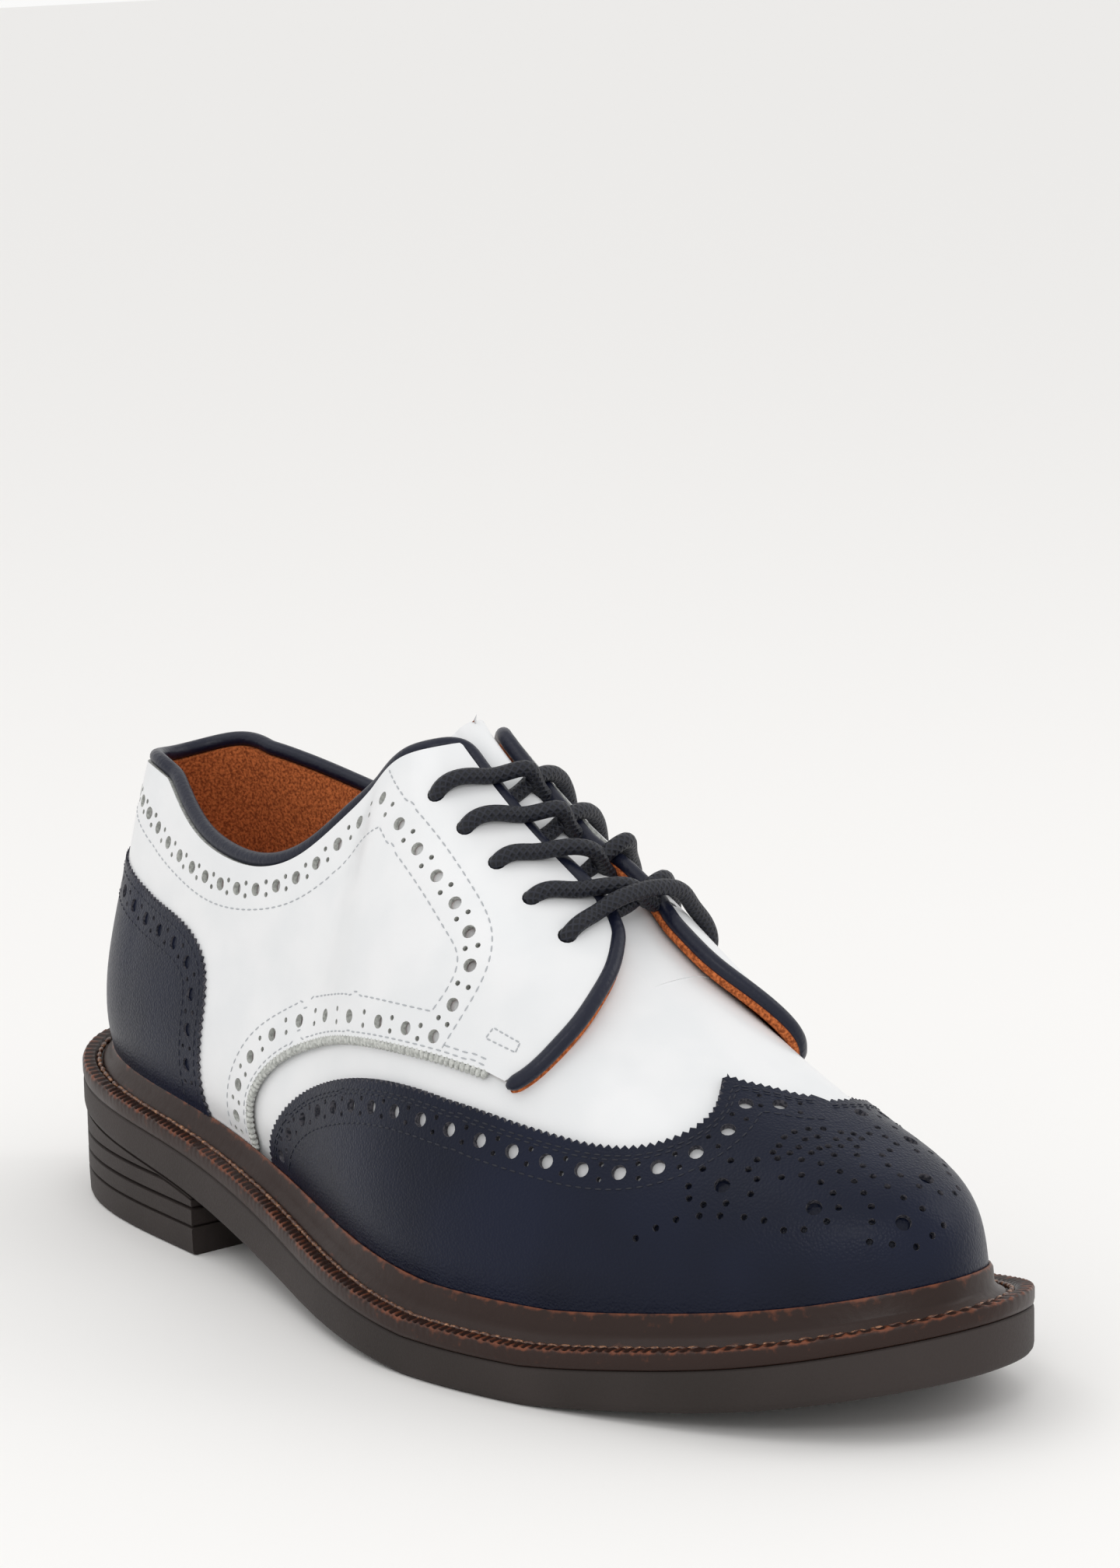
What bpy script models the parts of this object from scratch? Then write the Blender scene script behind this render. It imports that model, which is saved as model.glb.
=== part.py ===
"""Spectator shoe, right foot: a wing-tip derby on a storm welt, with a rubber sole and a grooved heel.

Metres, +Z up, the toe points to -Y and the big-toe (medial) side to +X. The origin is on the
floor, in the middle of the shoe's box. Along the shoe, a share of 0 is the back of the heel and
1 the tip of the toe. Every curved piece comes from one surface, which runs round the last from
the heel seam to the toe on each side, and from the welt up to the collar, facing or ridge.
"""
import functools
import math

import bmesh
import bpy
import numpy as np

# Driving sizes
LENGTH = 0.302
BALL_WIDTH = 0.108
HEEL_HEIGHT = 0.0235
INSTEP_HEIGHT = 0.100
COLLAR_HEIGHT = 0.107
RUBBER = 0.0090
WELT_WIDTH = 0.0084
WELT_THICKNESS = 0.0046
LIP_HEIGHT = 0.0060
UPPER_WALL = 0.0020
PANEL = 0.0015
INSOLE = 0.0040
TONGUE = 0.0020
FACING_GAP = 0.0090
PIPING = 0.0017
LACE = 0.0021
EYELET_REACH = 0.0200
FLAP_LIFT = 0.0030
TOP_LIFT = 0.0068
GROOVE_PITCH = 0.0045
GROOVE_DEPTH = 0.0008
CLEARANCE = 0.0003
TONGUE_RISE = 0.0025
NUDGE = 0.00013
LACE_LOW = 0.0012
LACE_AHEAD = 0.0040
LACE_START = 0.0020

# Places along the shoe, as shares of its length
HEEL_CENTRE = 0.132
TOE_CENTRE = 0.851
BREAST = 0.268
BACKSTAY = 0.028
SEAM = 0.001
FACING_TOP = 0.490
THROAT_ROUND = 0.585
THROAT_END = 0.6295
TONGUE_TOP = 0.462
TONGUE_END = 0.690
EYELET_TOP = 0.505
EYELET_STEP = 0.0335
EYELETS = 5

LATERAL = -1
MEDIAL = 1

# The sole's outline from above, clockwise from the heel: share of length, share of ball width
OUTLINE = (
    (0.000, 0.000),
    (0.038, -0.195),
    (0.122, -0.312),
    (0.260, -0.370),
    (0.418, -0.450),
    (0.560, -0.548),
    (0.690, -0.528),
    (0.820, -0.412),
    (0.935, -0.235),
    (1.000, 0.037),
    (0.966, 0.280),
    (0.860, 0.417),
    (0.740, 0.452),
    (0.600, 0.398),
    (0.450, 0.320),
    (0.280, 0.303),
    (0.120, 0.296),
    (0.038, 0.195),
)

# The sole's side: underside as a share of HEEL_HEIGHT, thickness as a share of RUBBER
SOLE_COLUMNS = ("share", "underside", "thickness")
SOLE_ROWS = (
    (0.00, 1.000, 0.89),
    (0.12, 0.850, 0.89),
    (0.24, 0.680, 1.00),
    (0.34, 0.434, 1.14),
    (0.45, 0.190, 1.13),
    (0.56, 0.060, 1.02),
    (0.63, -0.012, 0.98),
    (0.71, -0.012, 0.98),
    (0.80, 0.094, 1.02),
    (0.90, 0.272, 1.10),
    (1.00, 0.570, 1.20),
)

# The ridge over the vamp: height as a share of INSTEP_HEIGHT, side shift as a share of
# BALL_WIDTH, and how full the section is at its side and at its crown (2 is an ellipse)
RIDGE_COLUMNS = ("share", "height", "shift", "side", "crown")
RIDGE_ROWS = (
    (0.420, 1.460, 0.037, 2.20, 1.88),
    (0.500, 1.286, 0.007, 2.26, 1.94),
    (0.575, 1.114, 0.014, 2.30, 2.00),
    (0.655, 0.916, 0.042, 2.32, 2.08),
    (0.700, 0.818, 0.056, 2.30, 2.12),
    (0.780, 0.680, 0.068, 2.28, 2.22),
    (0.851, 0.596, 0.076, 2.26, 2.30),
)

# The wall above the welt: swell as a share of BALL_WIDTH, its inset from the sole's edge as a
# share of WELT_WIDTH, and the storm lip's height as a share of LIP_HEIGHT
WALL_COLUMNS = ("share", "swell", "inset", "lip")
WALL_ROWS = (
    (0.00, 0.014, 1.000, 0.63),
    (0.15, 0.017, 0.976, 0.70),
    (0.30, 0.022, 0.952, 0.77),
    (0.55, 0.019, 1.000, 1.03),
    (0.75, 0.013, 1.095, 1.05),
    (1.00, -0.011, 1.167, 1.05),
)

# The collar: heights as shares of COLLAR_HEIGHT, half width as a share of BALL_WIDTH
COLLAR_COLUMNS = ("share", "lateral", "medial", "half")
COLLAR_ROWS = (
    (0.063, 1.002, 1.002, 0.083),
    (0.100, 1.015, 1.024, 0.120),
    (0.132, 0.996, 1.011, 0.156),
    (0.172, 0.948, 0.978, 0.202),
    (0.212, 0.907, 0.944, 0.237),
    (0.258, 0.883, 0.916, 0.259),
    (0.298, 0.881, 0.907, 0.265),
    (0.350, 0.927, 0.939, 0.252),
    (0.390, 1.014, 1.019, 0.226),
    (0.430, 1.121, 1.118, 0.179),
    (0.460, 1.183, 1.176, 0.144),
    (0.490, 1.211, 1.202, 0.111),
)
COLLAR_BACK = 0.190
WALL_LEAN = 1.85
SWELL_HEIGHT = 0.045
TOE_SLOPE = -0.41
TOE_SIDE = 2.12
TOE_CROWN = 2.35

# Panels: from share to share, the lowest and highest fraction of the way up the wall
BELOW = -0.8
ABOVE = 1.12
PANEL_COLUMNS = ("share", "low", "high")
COUNTER_ROWS = (
    (0.000, BELOW, 0.500),
    (0.099, BELOW, 0.515),
    (0.143, BELOW, 0.545),
    (0.182, BELOW, 0.570),
    (0.221, BELOW, 0.565),
    (0.245, BELOW, 0.540),
    (0.258, BELOW, 0.500),
    (0.266, BELOW, 0.420),
)
QUARTER_ROWS = (
    (0.2690, BELOW, ABOVE),
    (0.3390, BELOW, ABOVE),
    (0.3395, 0.150, ABOVE),
    (0.3440, 0.213, ABOVE),
    (0.3610, 0.275, ABOVE),
    (0.4000, 0.312, ABOVE),
    (0.4550, 0.330, ABOVE),
    (0.5050, 0.333, ABOVE),
    (0.5560, 0.355, ABOVE),
    (0.6050, 0.395, ABOVE),
    (0.6340, 0.405, ABOVE),
)
FLAP_ROWS = {
    LATERAL: (
        (0.6450, 0.420, 0.920),
        (0.6560, 0.435, 0.880),
        (0.6660, 0.475, 0.840),
        (0.6730, 0.530, 0.780),
        (0.6780, 0.620, 0.700),
    ),
    MEDIAL: (
        (0.6450, 0.415, 0.895),
        (0.6670, 0.425, 0.885),
        (0.6890, 0.442, 0.866),
        (0.7030, 0.468, 0.820),
        (0.7160, 0.520, 0.765),
        (0.7240, 0.590, 0.710),
        (0.7270, 0.630, 0.665),
    ),
}

# The wing's back edge: fraction of the way up the wall, and the share where it starts
WING_COLUMNS = ("fraction", "lateral", "medial")
WING_ROWS = (
    (BELOW, 0.362, 0.362),
    (0.050, 0.370, 0.372),
    (0.125, 0.386, 0.392),
    (0.190, 0.405, 0.415),
    (0.238, 0.427, 0.450),
    (0.265, 0.500, 0.515),
    (0.312, 0.561, 0.570),
    (0.350, 0.606, 0.615),
    (0.388, 0.680, 0.680),
    (0.420, 0.725, 0.720),
    (0.470, 0.759, 0.755),
    (0.520, 0.779, 0.778),
    (0.600, 0.790, 0.796),
    (0.700, 0.794, 0.806),
    (0.788, 0.784, 0.812),
    (0.850, 0.773, 0.816),
    (0.900, 0.791, 0.818),
    (1.000, 0.815, 0.815),
)

# The facing's free front edge, from the throat down to its corner: share, fraction
FLAP_EDGE = {
    LATERAL: (
        (0.645, 0.920),
        (0.657, 0.875),
        (0.668, 0.820),
        (0.676, 0.740),
        (0.679, 0.660),
        (0.675, 0.560),
        (0.667, 0.480),
        (0.658, 0.436),
    ),
    MEDIAL: (
        (0.645, 0.895),
        (0.667, 0.885),
        (0.689, 0.866),
        (0.704, 0.820),
        (0.717, 0.765),
        (0.725, 0.710),
        (0.728, 0.650),
        (0.725, 0.590),
        (0.717, 0.520),
        (0.704, 0.468),
    ),
}

# The tongue: half width as a share of BALL_WIDTH
TONGUE_COLUMNS = ("share", "half")
TONGUE_ROWS = (
    (0.462, 0.090),
    (0.490, 0.100),
    (0.530, 0.135),
    (0.640, 0.140),
    (0.690, 0.130),
)

MATERIALS = {
    "white_leather": ((0.86, 0.87, 0.87, 1.0), 0.28),
    "navy_leather": ((0.014, 0.021, 0.055, 1.0), 0.38),
    "tan_suede": ((0.45, 0.16, 0.05, 1.0), 0.85),
    "brown_leather": ((0.045, 0.018, 0.010, 1.0), 0.45),
    "dark_rubber": ((0.045, 0.034, 0.029, 1.0), 0.55),
    "navy_cord": ((0.010, 0.012, 0.022, 1.0), 0.50),
}


def smooth_curve(knots, values):
    """A curve through the knots with an even bend, held level past its ends."""
    knots = np.asarray(knots, float)
    values = np.asarray(values, float)
    step = np.diff(knots)
    last = len(knots) - 1
    system = np.eye(last + 1)
    right = np.zeros(last + 1)
    slope = np.diff(values) / step
    for k in range(1, last):
        system[k, k - 1:k + 2] = step[k - 1], 2 * (step[k - 1] + step[k]), step[k]
        right[k] = 6 * (slope[k] - slope[k - 1])
    bend = np.linalg.solve(system, right)

    def at(place):
        place = np.clip(np.asarray(place, float), knots[0], knots[-1])
        k = np.clip(np.searchsorted(knots, place) - 1, 0, last - 1)
        left = (knots[k + 1] - place) / step[k]
        near = 1 - left
        curve = (left ** 3 - left) * bend[k] + (near ** 3 - near) * bend[k + 1]
        return left * values[k] + near * values[k + 1] + curve * step[k] ** 2 / 6
    return at


def even_curve(knots, values):
    """A curve through the knots that never runs past them, for edges with steep steps."""
    knots = np.asarray(knots, float)
    values = np.asarray(values, float)
    step = np.diff(knots)
    slope = np.diff(values) / step
    tilt = np.zeros(len(knots))
    tilt[0], tilt[-1] = slope[0], slope[-1]
    same_way = slope[:-1] * slope[1:] > 0
    mean = 2 * slope[:-1] * slope[1:] / np.where(same_way, slope[:-1] + slope[1:], 1)
    tilt[1:-1] = np.where(same_way, mean, 0)

    def at(place):
        place = np.clip(np.asarray(place, float), knots[0], knots[-1])
        k = np.clip(np.searchsorted(knots, place) - 1, 0, len(step) - 1)
        t = (place - knots[k]) / step[k]
        ends = (1 + 2 * t) * (1 - t) ** 2 * values[k] + t ** 2 * (3 - 2 * t) * values[k + 1]
        tilts = t * (1 - t) ** 2 * tilt[k] - t ** 2 * (1 - t) * tilt[k + 1]
        return ends + tilts * step[k]
    return at


def table(columns, rows, scales=(), make=smooth_curve):
    """One curve for each column after the first, in metres where a scale is given."""
    curves = {}
    for index, name in enumerate(columns[1:], start=1):
        scale = dict(scales).get(name, 1.0)
        curves[name] = make([row[0] for row in rows], [row[index] * scale for row in rows])
    return curves


SOLE = table(SOLE_COLUMNS, SOLE_ROWS, (("underside", HEEL_HEIGHT), ("thickness", RUBBER)))
RIDGE = table(RIDGE_COLUMNS, RIDGE_ROWS, (("height", INSTEP_HEIGHT), ("shift", BALL_WIDTH)))
WALL = table(WALL_COLUMNS, WALL_ROWS,
             (("swell", BALL_WIDTH), ("inset", WELT_WIDTH), ("lip", LIP_HEIGHT)))
COLLAR = table(COLLAR_COLUMNS, COLLAR_ROWS,
               (("lateral", COLLAR_HEIGHT), ("medial", COLLAR_HEIGHT), ("half", BALL_WIDTH)))
TONGUE_SHAPE = table(TONGUE_COLUMNS, TONGUE_ROWS, (("half", BALL_WIDTH),))
WING = table(WING_COLUMNS, WING_ROWS, make=even_curve)


def collar_height(side, share):
    return COLLAR["lateral" if side == LATERAL else "medial"](share)


def closed_outline(count=240):
    """The sole's outline as a smooth closed curve of (distance from the heel, side)."""
    corners = np.array(OUTLINE) * (LENGTH, BALL_WIDTH)
    size = len(corners)
    lap = np.concatenate([corners, corners, corners, corners[:1]])
    path = np.concatenate([[0], np.cumsum(np.hypot(*np.diff(lap, axis=0).T))])
    places = np.linspace(path[size], path[2 * size], count, endpoint=False)
    return np.stack([smooth_curve(path, lap[:, axis])(places) for axis in (0, 1)], 1)


def inset_outline(curve, distance):
    """The curve moved inward by a distance, which may change along the shoe."""
    along = np.roll(curve, -1, 0) - np.roll(curve, 1, 0)
    along /= np.hypot(*along.T)[:, None]
    inward = np.stack([along[:, 1], -along[:, 0]], 1)
    inward *= np.sign(((curve.mean(0) - curve) * inward).sum())
    return curve + inward * np.reshape(distance, (-1, 1))


EDGE = closed_outline()
FEATHER = inset_outline(EDGE, WALL["inset"](EDGE[:, 0] / LENGTH))
MIDDLE = (EDGE[:, 1].min() + EDGE[:, 1].max()) / 2


def underside(share):
    return np.maximum(SOLE["underside"](share), 0.0)


def sole_top(share):
    return SOLE["underside"](share).clip(0) + SOLE["thickness"](share)


def place(along, across, height):
    """A point in the shoe's frame, from its distance from the heel and its side."""
    along, across, height = np.broadcast_arrays(along, across, height)
    return np.stack([across - MIDDLE, LENGTH / 2 - along, height], -1)


def reach(curve, origin, way):
    """How far a closed curve lies from a point inside it, in one direction."""
    offset = np.vstack([curve, curve[:1]]) - origin
    along = offset @ way
    beside = offset @ np.array([-way[1], way[0]])
    crossing = (beside[:-1] * beside[1:] <= 0) & (along[:-1] > 0) & (beside[:-1] != beside[1:])
    k = np.nonzero(crossing)[0]
    t = beside[k] / (beside[k] - beside[k + 1])
    return float(np.max(along[k] + t * (along[k + 1] - along[k])))


def ease(value):
    value = min(max(value, 0.0), 1.0)
    return value * value * (3 - 2 * value)


class Section:
    """One section of the last: straight across the shoe, or fanned round the heel or toe."""

    def __init__(self, side, share):
        self.side = side
        self.share = share
        centre = min(max(share, HEEL_CENTRE), TOE_CENTRE)
        if share < HEEL_CENTRE:
            turn = math.pi / 2 * share / HEEL_CENTRE
            self.way = np.array([-math.cos(turn), side * math.sin(turn)])
        elif share > TOE_CENTRE:
            turn = math.pi / 2 * (1 - share) / (1 - TOE_CENTRE)
            self.way = np.array([math.cos(turn), side * math.sin(turn)])
        else:
            self.way = np.array([0.0, side])
        self.centre = centre
        self.origin = np.array([centre * LENGTH, float(RIDGE["shift"](centre))])
        self.half = reach(FEATHER, self.origin, self.way)
        foot_share = (self.origin[0] + self.way[0] * self.half) / LENGTH
        self.base = float(sole_top(foot_share)) + CLEARANCE
        self.foot = float(sole_top(foot_share) + WALL["lip"](foot_share)) + WELT_THICKNESS
        self.swell = float(WALL["swell"](foot_share))
        self.back = self.way[0] < 0
        if self.back:
            lean = self.way[0] ** 2
            side_half = float(COLLAR["half"](HEEL_CENTRE))
            self.collar_half = COLLAR_BACK * BALL_WIDTH * lean + side_half * (1 - lean)
            collar_share = (self.origin[0] + self.way[0] * self.collar_half) / LENGTH
        else:
            self.collar_half = float(COLLAR["half"](centre))
            collar_share = centre
        self.collar = float(collar_height(side, collar_share))
        self.toe = max(self.way[0], 0.0)
        self.vamp = ease((centre - 0.40) / 0.09)
        self.top = self.find_top()

    def profile(self, turn):
        """Distance from the middle and height, for turns of 0 at the foot to 1 at the ridge."""
        angle = np.asarray(turn, float) * math.pi / 2
        toe = self.toe ** 2
        side_power = RIDGE["side"](self.centre) * (1 - toe) + TOE_SIDE * toe
        crown_power = RIDGE["crown"](self.centre) * (1 - toe) + TOE_CROWN * toe
        ridge = RIDGE["height"](self.centre) - self.foot
        vamp_half = self.half * np.cos(angle) ** (2 / side_power)
        vamp_height = self.foot + ridge * np.sin(angle) ** (2 / crown_power)
        wall_top = self.collar + 0.11 * COLLAR_HEIGHT
        wall_height = self.foot + (wall_top - self.foot) * np.sin(angle)
        height = vamp_height if self.vamp > 0 else wall_height
        climb = np.clip((height - self.foot) / (self.collar - self.foot), 0, 1.2)
        wall_half = self.half - (self.half - self.collar_half) * climb ** WALL_LEAN
        half = wall_half * (1 - self.vamp) + vamp_half * self.vamp
        rise = np.clip((height - self.foot) / min(SWELL_HEIGHT, ridge), 0, 1)
        half = half + self.swell * 6.75 * rise * (1 - rise) ** 2
        if self.toe > 0:
            height = height + TOE_SLOPE * self.toe * half * (1 - np.clip(half / self.half, 0, 1))
        return half, height

    def turn_at_half(self, half):
        turns = np.linspace(0, 1, 241)
        return float(np.interp(-half, -self.profile(turns)[0], turns))

    def find_top(self):
        """The turn where the wall ends: at the collar, at the facing, or on the ridge."""
        if self.centre > THROAT_END:
            return 1.0
        turns = np.linspace(0, 1, 241)
        half, height = self.profile(turns)
        collar = facing = 1.0
        if self.back:
            along = (self.origin[0] + self.way[0] * half) / LENGTH
            above = np.nonzero(height >= collar_height(self.side, along))[0]
            collar = float(turns[above[0]])
        elif self.centre < FACING_TOP:
            collar = float(np.interp(self.collar, height, turns))
        if self.vamp > 0.1:
            gap = FACING_GAP
            if self.centre > THROAT_ROUND:
                end = (self.centre - THROAT_ROUND) / (THROAT_END - THROAT_ROUND)
                gap *= math.sqrt(max(1 - end ** 2, 0))
            facing = self.turn_at_half(gap)
        return min(collar, facing)

    def point(self, fraction):
        """A point on the outside: 0 is the foot, 1 the top edge, and -1 the sole's top."""
        half, height = self.profile(max(min(fraction * self.top, 1.0), 0.0))
        if fraction < 0:
            height = height + (self.foot - self.base) * fraction
        along = self.origin + self.way * half
        return place(along[0], along[1], height)


@functools.lru_cache(maxsize=None)
def section(side, share):
    return Section(side, share)


def surface(side, share, fraction):
    return section(side, round(float(share), 6)).point(float(fraction))


def outward(side, share, fraction):
    """The direction straight out of the surface."""
    step = 0.004
    ridge = fraction > 0.999 and share > THROAT_END
    share = min(max(share, step), TOE_CENTRE if ridge else 1 - step)
    fraction = min(max(fraction, step), 1 - step)
    along = surface(side, share + step, fraction) - surface(side, share - step, fraction)
    up = surface(side, share, fraction + step) - surface(side, share, fraction - step)
    normal = np.cross(along, up) * -side
    if ridge:
        normal[0] = 0.0
    return normal / np.linalg.norm(normal)


def material(name):
    if name in bpy.data.materials:
        return bpy.data.materials[name]
    colour, roughness = MATERIALS[name]
    made = bpy.data.materials.new(name)
    made.use_nodes = True
    made.diffuse_color = colour
    shader = made.node_tree.nodes["Principled BSDF"]
    shader.inputs["Base Color"].default_value = colour
    shader.inputs["Roughness"].default_value = roughness
    shader.inputs["Metallic"].default_value = 0.0
    return made


def add_object(name, mesh, material_name, collection):
    made = bpy.data.objects.new(name, mesh)
    collection.objects.link(made)
    if material_name:
        mesh.materials.append(material(material_name))
    return made


def grid_mesh(name, rows, closed=False):
    """A sheet of faces between rows of points, with points that meet made one."""
    mesh = bpy.data.meshes.new(name)
    build = bmesh.new()
    lines = [[build.verts.new(point) for point in row] for row in rows]
    pairs = list(zip(lines, lines[1:]))
    if closed:
        pairs.append((lines[-1], lines[0]))
    for one, two in pairs:
        for k in range(len(one) - 1):
            build.faces.new((one[k], two[k], two[k + 1], one[k + 1]))
    bmesh.ops.remove_doubles(build, verts=build.verts, dist=0.00002)
    bmesh.ops.dissolve_degenerate(build, edges=build.edges, dist=0.00001)
    build.to_mesh(mesh)
    build.free()
    return mesh


def push_out(mesh, distance):
    """Moves a sheet's points along their normals."""
    normals = [vertex.normal.copy() for vertex in mesh.vertices]
    for vertex, normal in zip(mesh.vertices, normals):
        vertex.co += normal * distance


def thicken(target, thickness, offset=-1.0):
    wall = target.modifiers.new("wall", "SOLIDIFY")
    wall.thickness = thickness
    wall.offset = offset
    wall.use_even_offset = True
    wall.thickness_clamp = 0.0


def keep_inside(target, cutter, operation="INTERSECT"):
    cut = target.modifiers.new("cut", "BOOLEAN")
    cut.operation = operation
    cut.solver = "EXACT"
    cut.object = cutter


def lattice_shares(start=0.0, end=1.0):
    """Where the sections of the curved pieces stand, closer round the heel and toe."""
    heel = np.linspace(0, HEEL_CENTRE, 6)
    waist = np.linspace(HEEL_CENTRE, TOE_CENTRE, 23)
    toe = np.linspace(TOE_CENTRE, 1, 8)
    shares = sorted([*heel, *waist[1:], *toe[1:], 0.616])
    return [float(share) for share in shares if start <= share <= end]


WALL_STEPS = tuple(np.linspace(0, 1, 10))


def facing_fraction(side, share):
    """How far up the wall the facing's edge is, at its own side of the gap."""
    here = section(side, round(float(share), 6))
    return here.turn_at_half(FACING_GAP) / here.top


def flap_lift(share, fraction):
    """How far the facing's free front stands off the vamp."""
    return FLAP_LIFT * ease((share - 0.55) / 0.095) * ease((fraction - 0.40) / 0.40)


def round_the_shoe(shares):
    """Heel to toe on the lateral side and back on the medial, each section once."""
    sides = [(LATERAL, share) for share in shares]
    return sides + [(MEDIAL, share) for share in reversed(shares[1:-1])]


def wall_sheet(name, flap=False):
    """The outside of the whole wall, from inside the welt up to its top edge."""
    rows = []
    for side, share in round_the_shoe(lattice_shares()):
        row = []
        for fraction in (-0.95,) + WALL_STEPS:
            point = surface(side, share, fraction)
            if flap and flap_lift(share, fraction) > 0:
                point = point + outward(side, share, fraction) * flap_lift(share, fraction)
            row.append(point)
        rows.append(row)
    return grid_mesh(name, rows, closed=True)


def make_upper(collection):
    """The vamp, quarters and lining as one hollow wall, open at the throat and underneath."""
    mesh = wall_sheet("upper")
    push_out(mesh, -(PANEL + CLEARANCE))
    upper = add_object("upper", mesh, "white_leather", collection)
    thicken(upper, UPPER_WALL)
    return upper


def add_panel(name, cutter, material_name, collection, flap=False):
    """An overlay: the wall's outer layer, kept only inside its cutter."""
    panel = add_object(name, wall_sheet(name, flap), material_name, collection)
    thicken(panel, PANEL)
    keep_inside(panel, cutter)
    return panel


def slab(name, lines, cutters, depth=0.0055):
    """A cutter: lines of (side, share, fraction) on the wall, made thick both ways."""
    points, normals, grid = [], [], []
    for line in lines:
        row = []
        for side, share, fraction in line:
            point = surface(side, share, fraction)
            near = []
            if points:
                near = np.nonzero(np.abs(np.array(points) - point).max(1) < 0.00002)[0]
            if not len(near):
                near = [len(points)]
                points.append(point)
                normals.append(outward(side, share, fraction))
            row.append(int(near[0]))
        grid.append(row)
    faces, sides = [], {}
    for one, two in zip(grid, grid[1:]):
        for k in range(len(one) - 1):
            face = list(dict.fromkeys((one[k], two[k], two[k + 1], one[k + 1])))
            if len(face) > 2:
                faces.append(face)
                for pair in zip(face, face[1:] + face[:1]):
                    sides[pair] = True
    size = len(points)
    outer = [point + normal * depth for point, normal in zip(points, normals)]
    inner = [point - normal * depth for point, normal in zip(points, normals)]
    solid = faces + [[k + size for k in reversed(face)] for face in faces]
    solid += [[b, a, a + size, b + size] for a, b in sides if (b, a) not in sides]
    mesh = bpy.data.meshes.new(name)
    mesh.from_pydata(outer + inner, [], solid)
    build = bmesh.new()
    build.from_mesh(mesh)
    bmesh.ops.recalc_face_normals(build, faces=build.faces)
    build.to_mesh(mesh)
    build.free()
    cutter = add_object(name, mesh, None, cutters)
    cutter.hide_render = True
    cutter.display_type = "WIRE"
    return cutter


def closer(knots, largest=0.02):
    """The knots with more places between those that stand far apart."""
    places = []
    for one, two in zip(knots, knots[1:]):
        count = max(1, math.ceil((two - one) / largest))
        places += list(np.linspace(one, two, count, endpoint=False))
    return places + [knots[-1]]


def quarter_cutter(side, cutters):
    """From the backstay over the counter, down to the welt, and along the facing."""
    counter = table(PANEL_COLUMNS, COUNTER_ROWS, make=even_curve)
    rows = QUARTER_ROWS + FLAP_ROWS[side]
    quarter = table(PANEL_COLUMNS, rows, make=even_curve)
    lines = []
    first = rows[0][0]
    back = [share for share in closer([row[0] for row in COUNTER_ROWS]) if share > BACKSTAY]
    for share in [BACKSTAY + SEAM] + back + [first - 0.0002]:
        low = float(counter["high"](share - 2 * SEAM)) + 7 * SEAM
        lines.append([(side, share, f) for f in np.linspace(low, ABOVE, 12)])
    for share in closer([row[0] for row in rows]):
        low, high = float(quarter["low"](share)), float(quarter["high"](share))
        if share > THROAT_ROUND - 0.03:
            high = min(high, facing_fraction(side, share))
        lines.append([(side, share, f) for f in np.linspace(low, high, 12)])
    if side == MEDIAL:
        lines.reverse()
    return slab("quarter_cutter", lines, cutters)


def counter_cutter(cutters):
    edges = table(PANEL_COLUMNS, COUNTER_ROWS, make=even_curve)
    shares = closer([row[0] for row in COUNTER_ROWS])
    sides = [(MEDIAL, share) for share in reversed(shares[1:])]
    sides += [(LATERAL, share) for share in shares]
    lines = []
    for side, share in sides:
        heights = np.linspace(BELOW - 0.3, float(edges["high"](share)), 9)
        lines.append([(side, share, f) for f in heights])
    return slab("counter_cutter", lines, cutters)


def backstay_cutter(cutters):
    edges = table(PANEL_COLUMNS, COUNTER_ROWS, make=even_curve)
    places = ((MEDIAL, BACKSTAY), (MEDIAL, BACKSTAY / 2), (LATERAL, 0.0),
              (LATERAL, BACKSTAY / 2), (LATERAL, BACKSTAY))
    lines = []
    for side, share in places:
        heights = np.linspace(float(edges["high"](share)) + 7 * SEAM, ABOVE, 8)
        lines.append([(side, share, f) for f in heights])
    return slab("backstay_cutter", lines, cutters)


def wing_cutter(cutters):
    """Everything in front of the wing's back edge, round the toe and over the ridge."""
    steps = np.linspace(0, 1, 15)
    lines = []
    for side, column in ((LATERAL, "lateral"), (MEDIAL, "medial")):
        half = []
        for step in steps:
            line = []
            for fraction, _, _ in WING_ROWS:
                start = float(WING[column](fraction))
                line.append((side, start + (1 - start) * step, fraction))
            half.append(line)
        lines += half if side == LATERAL else half[-2::-1]
    cutter = slab("wing_cutter", lines, cutters)
    for vertex in cutter.data.vertices:
        vertex.co.x += NUDGE
    return cutter


def solid_mesh(name, rings, ladder):
    """A closed solid from rings of equal length, its ends filled across or with one face."""
    mesh = bpy.data.meshes.new(name)
    build = bmesh.new()
    loops = [[build.verts.new(point) for point in ring] for ring in rings]
    count = len(loops[0])
    for low, high in zip(loops, loops[1:]):
        for k in range(count):
            m = (k + 1) % count
            build.faces.new((low[k], low[m], high[m], high[k]))
    for loop in (loops[0], loops[-1]):
        if not ladder:
            build.faces.new(loop)
            continue
        one, two = 0, count - 1 if ladder == "straight" else count
        while one + 1 < two:
            corners = [loop[one], loop[one + 1], loop[two - 1], loop[two % count]]
            build.faces.new(list(dict.fromkeys(corners)))
            one, two = one + 1, two - 1
    bmesh.ops.recalc_face_normals(build, faces=build.faces)
    build.to_mesh(mesh)
    build.free()
    return mesh


def rim_point(side, share, inset):
    """A point on the sole's outline, or inside it, in line with the last's section."""
    here = section(side, round(float(share), 6))
    edge = reach(EDGE, here.origin, here.way)
    return here.origin + here.way * (edge - inset)


def plate_ring(shares, inset, height):
    """One closed ring of a flat piece. The inset and the height may follow the share."""
    ring = []
    for side, share in round_the_shoe(shares):
        spot = rim_point(side, share, inset(share) if callable(inset) else inset)
        level = height(spot[0] / LENGTH) if callable(height) else height
        ring.append(place(spot[0], spot[1], float(level)))
    return ring


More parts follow.
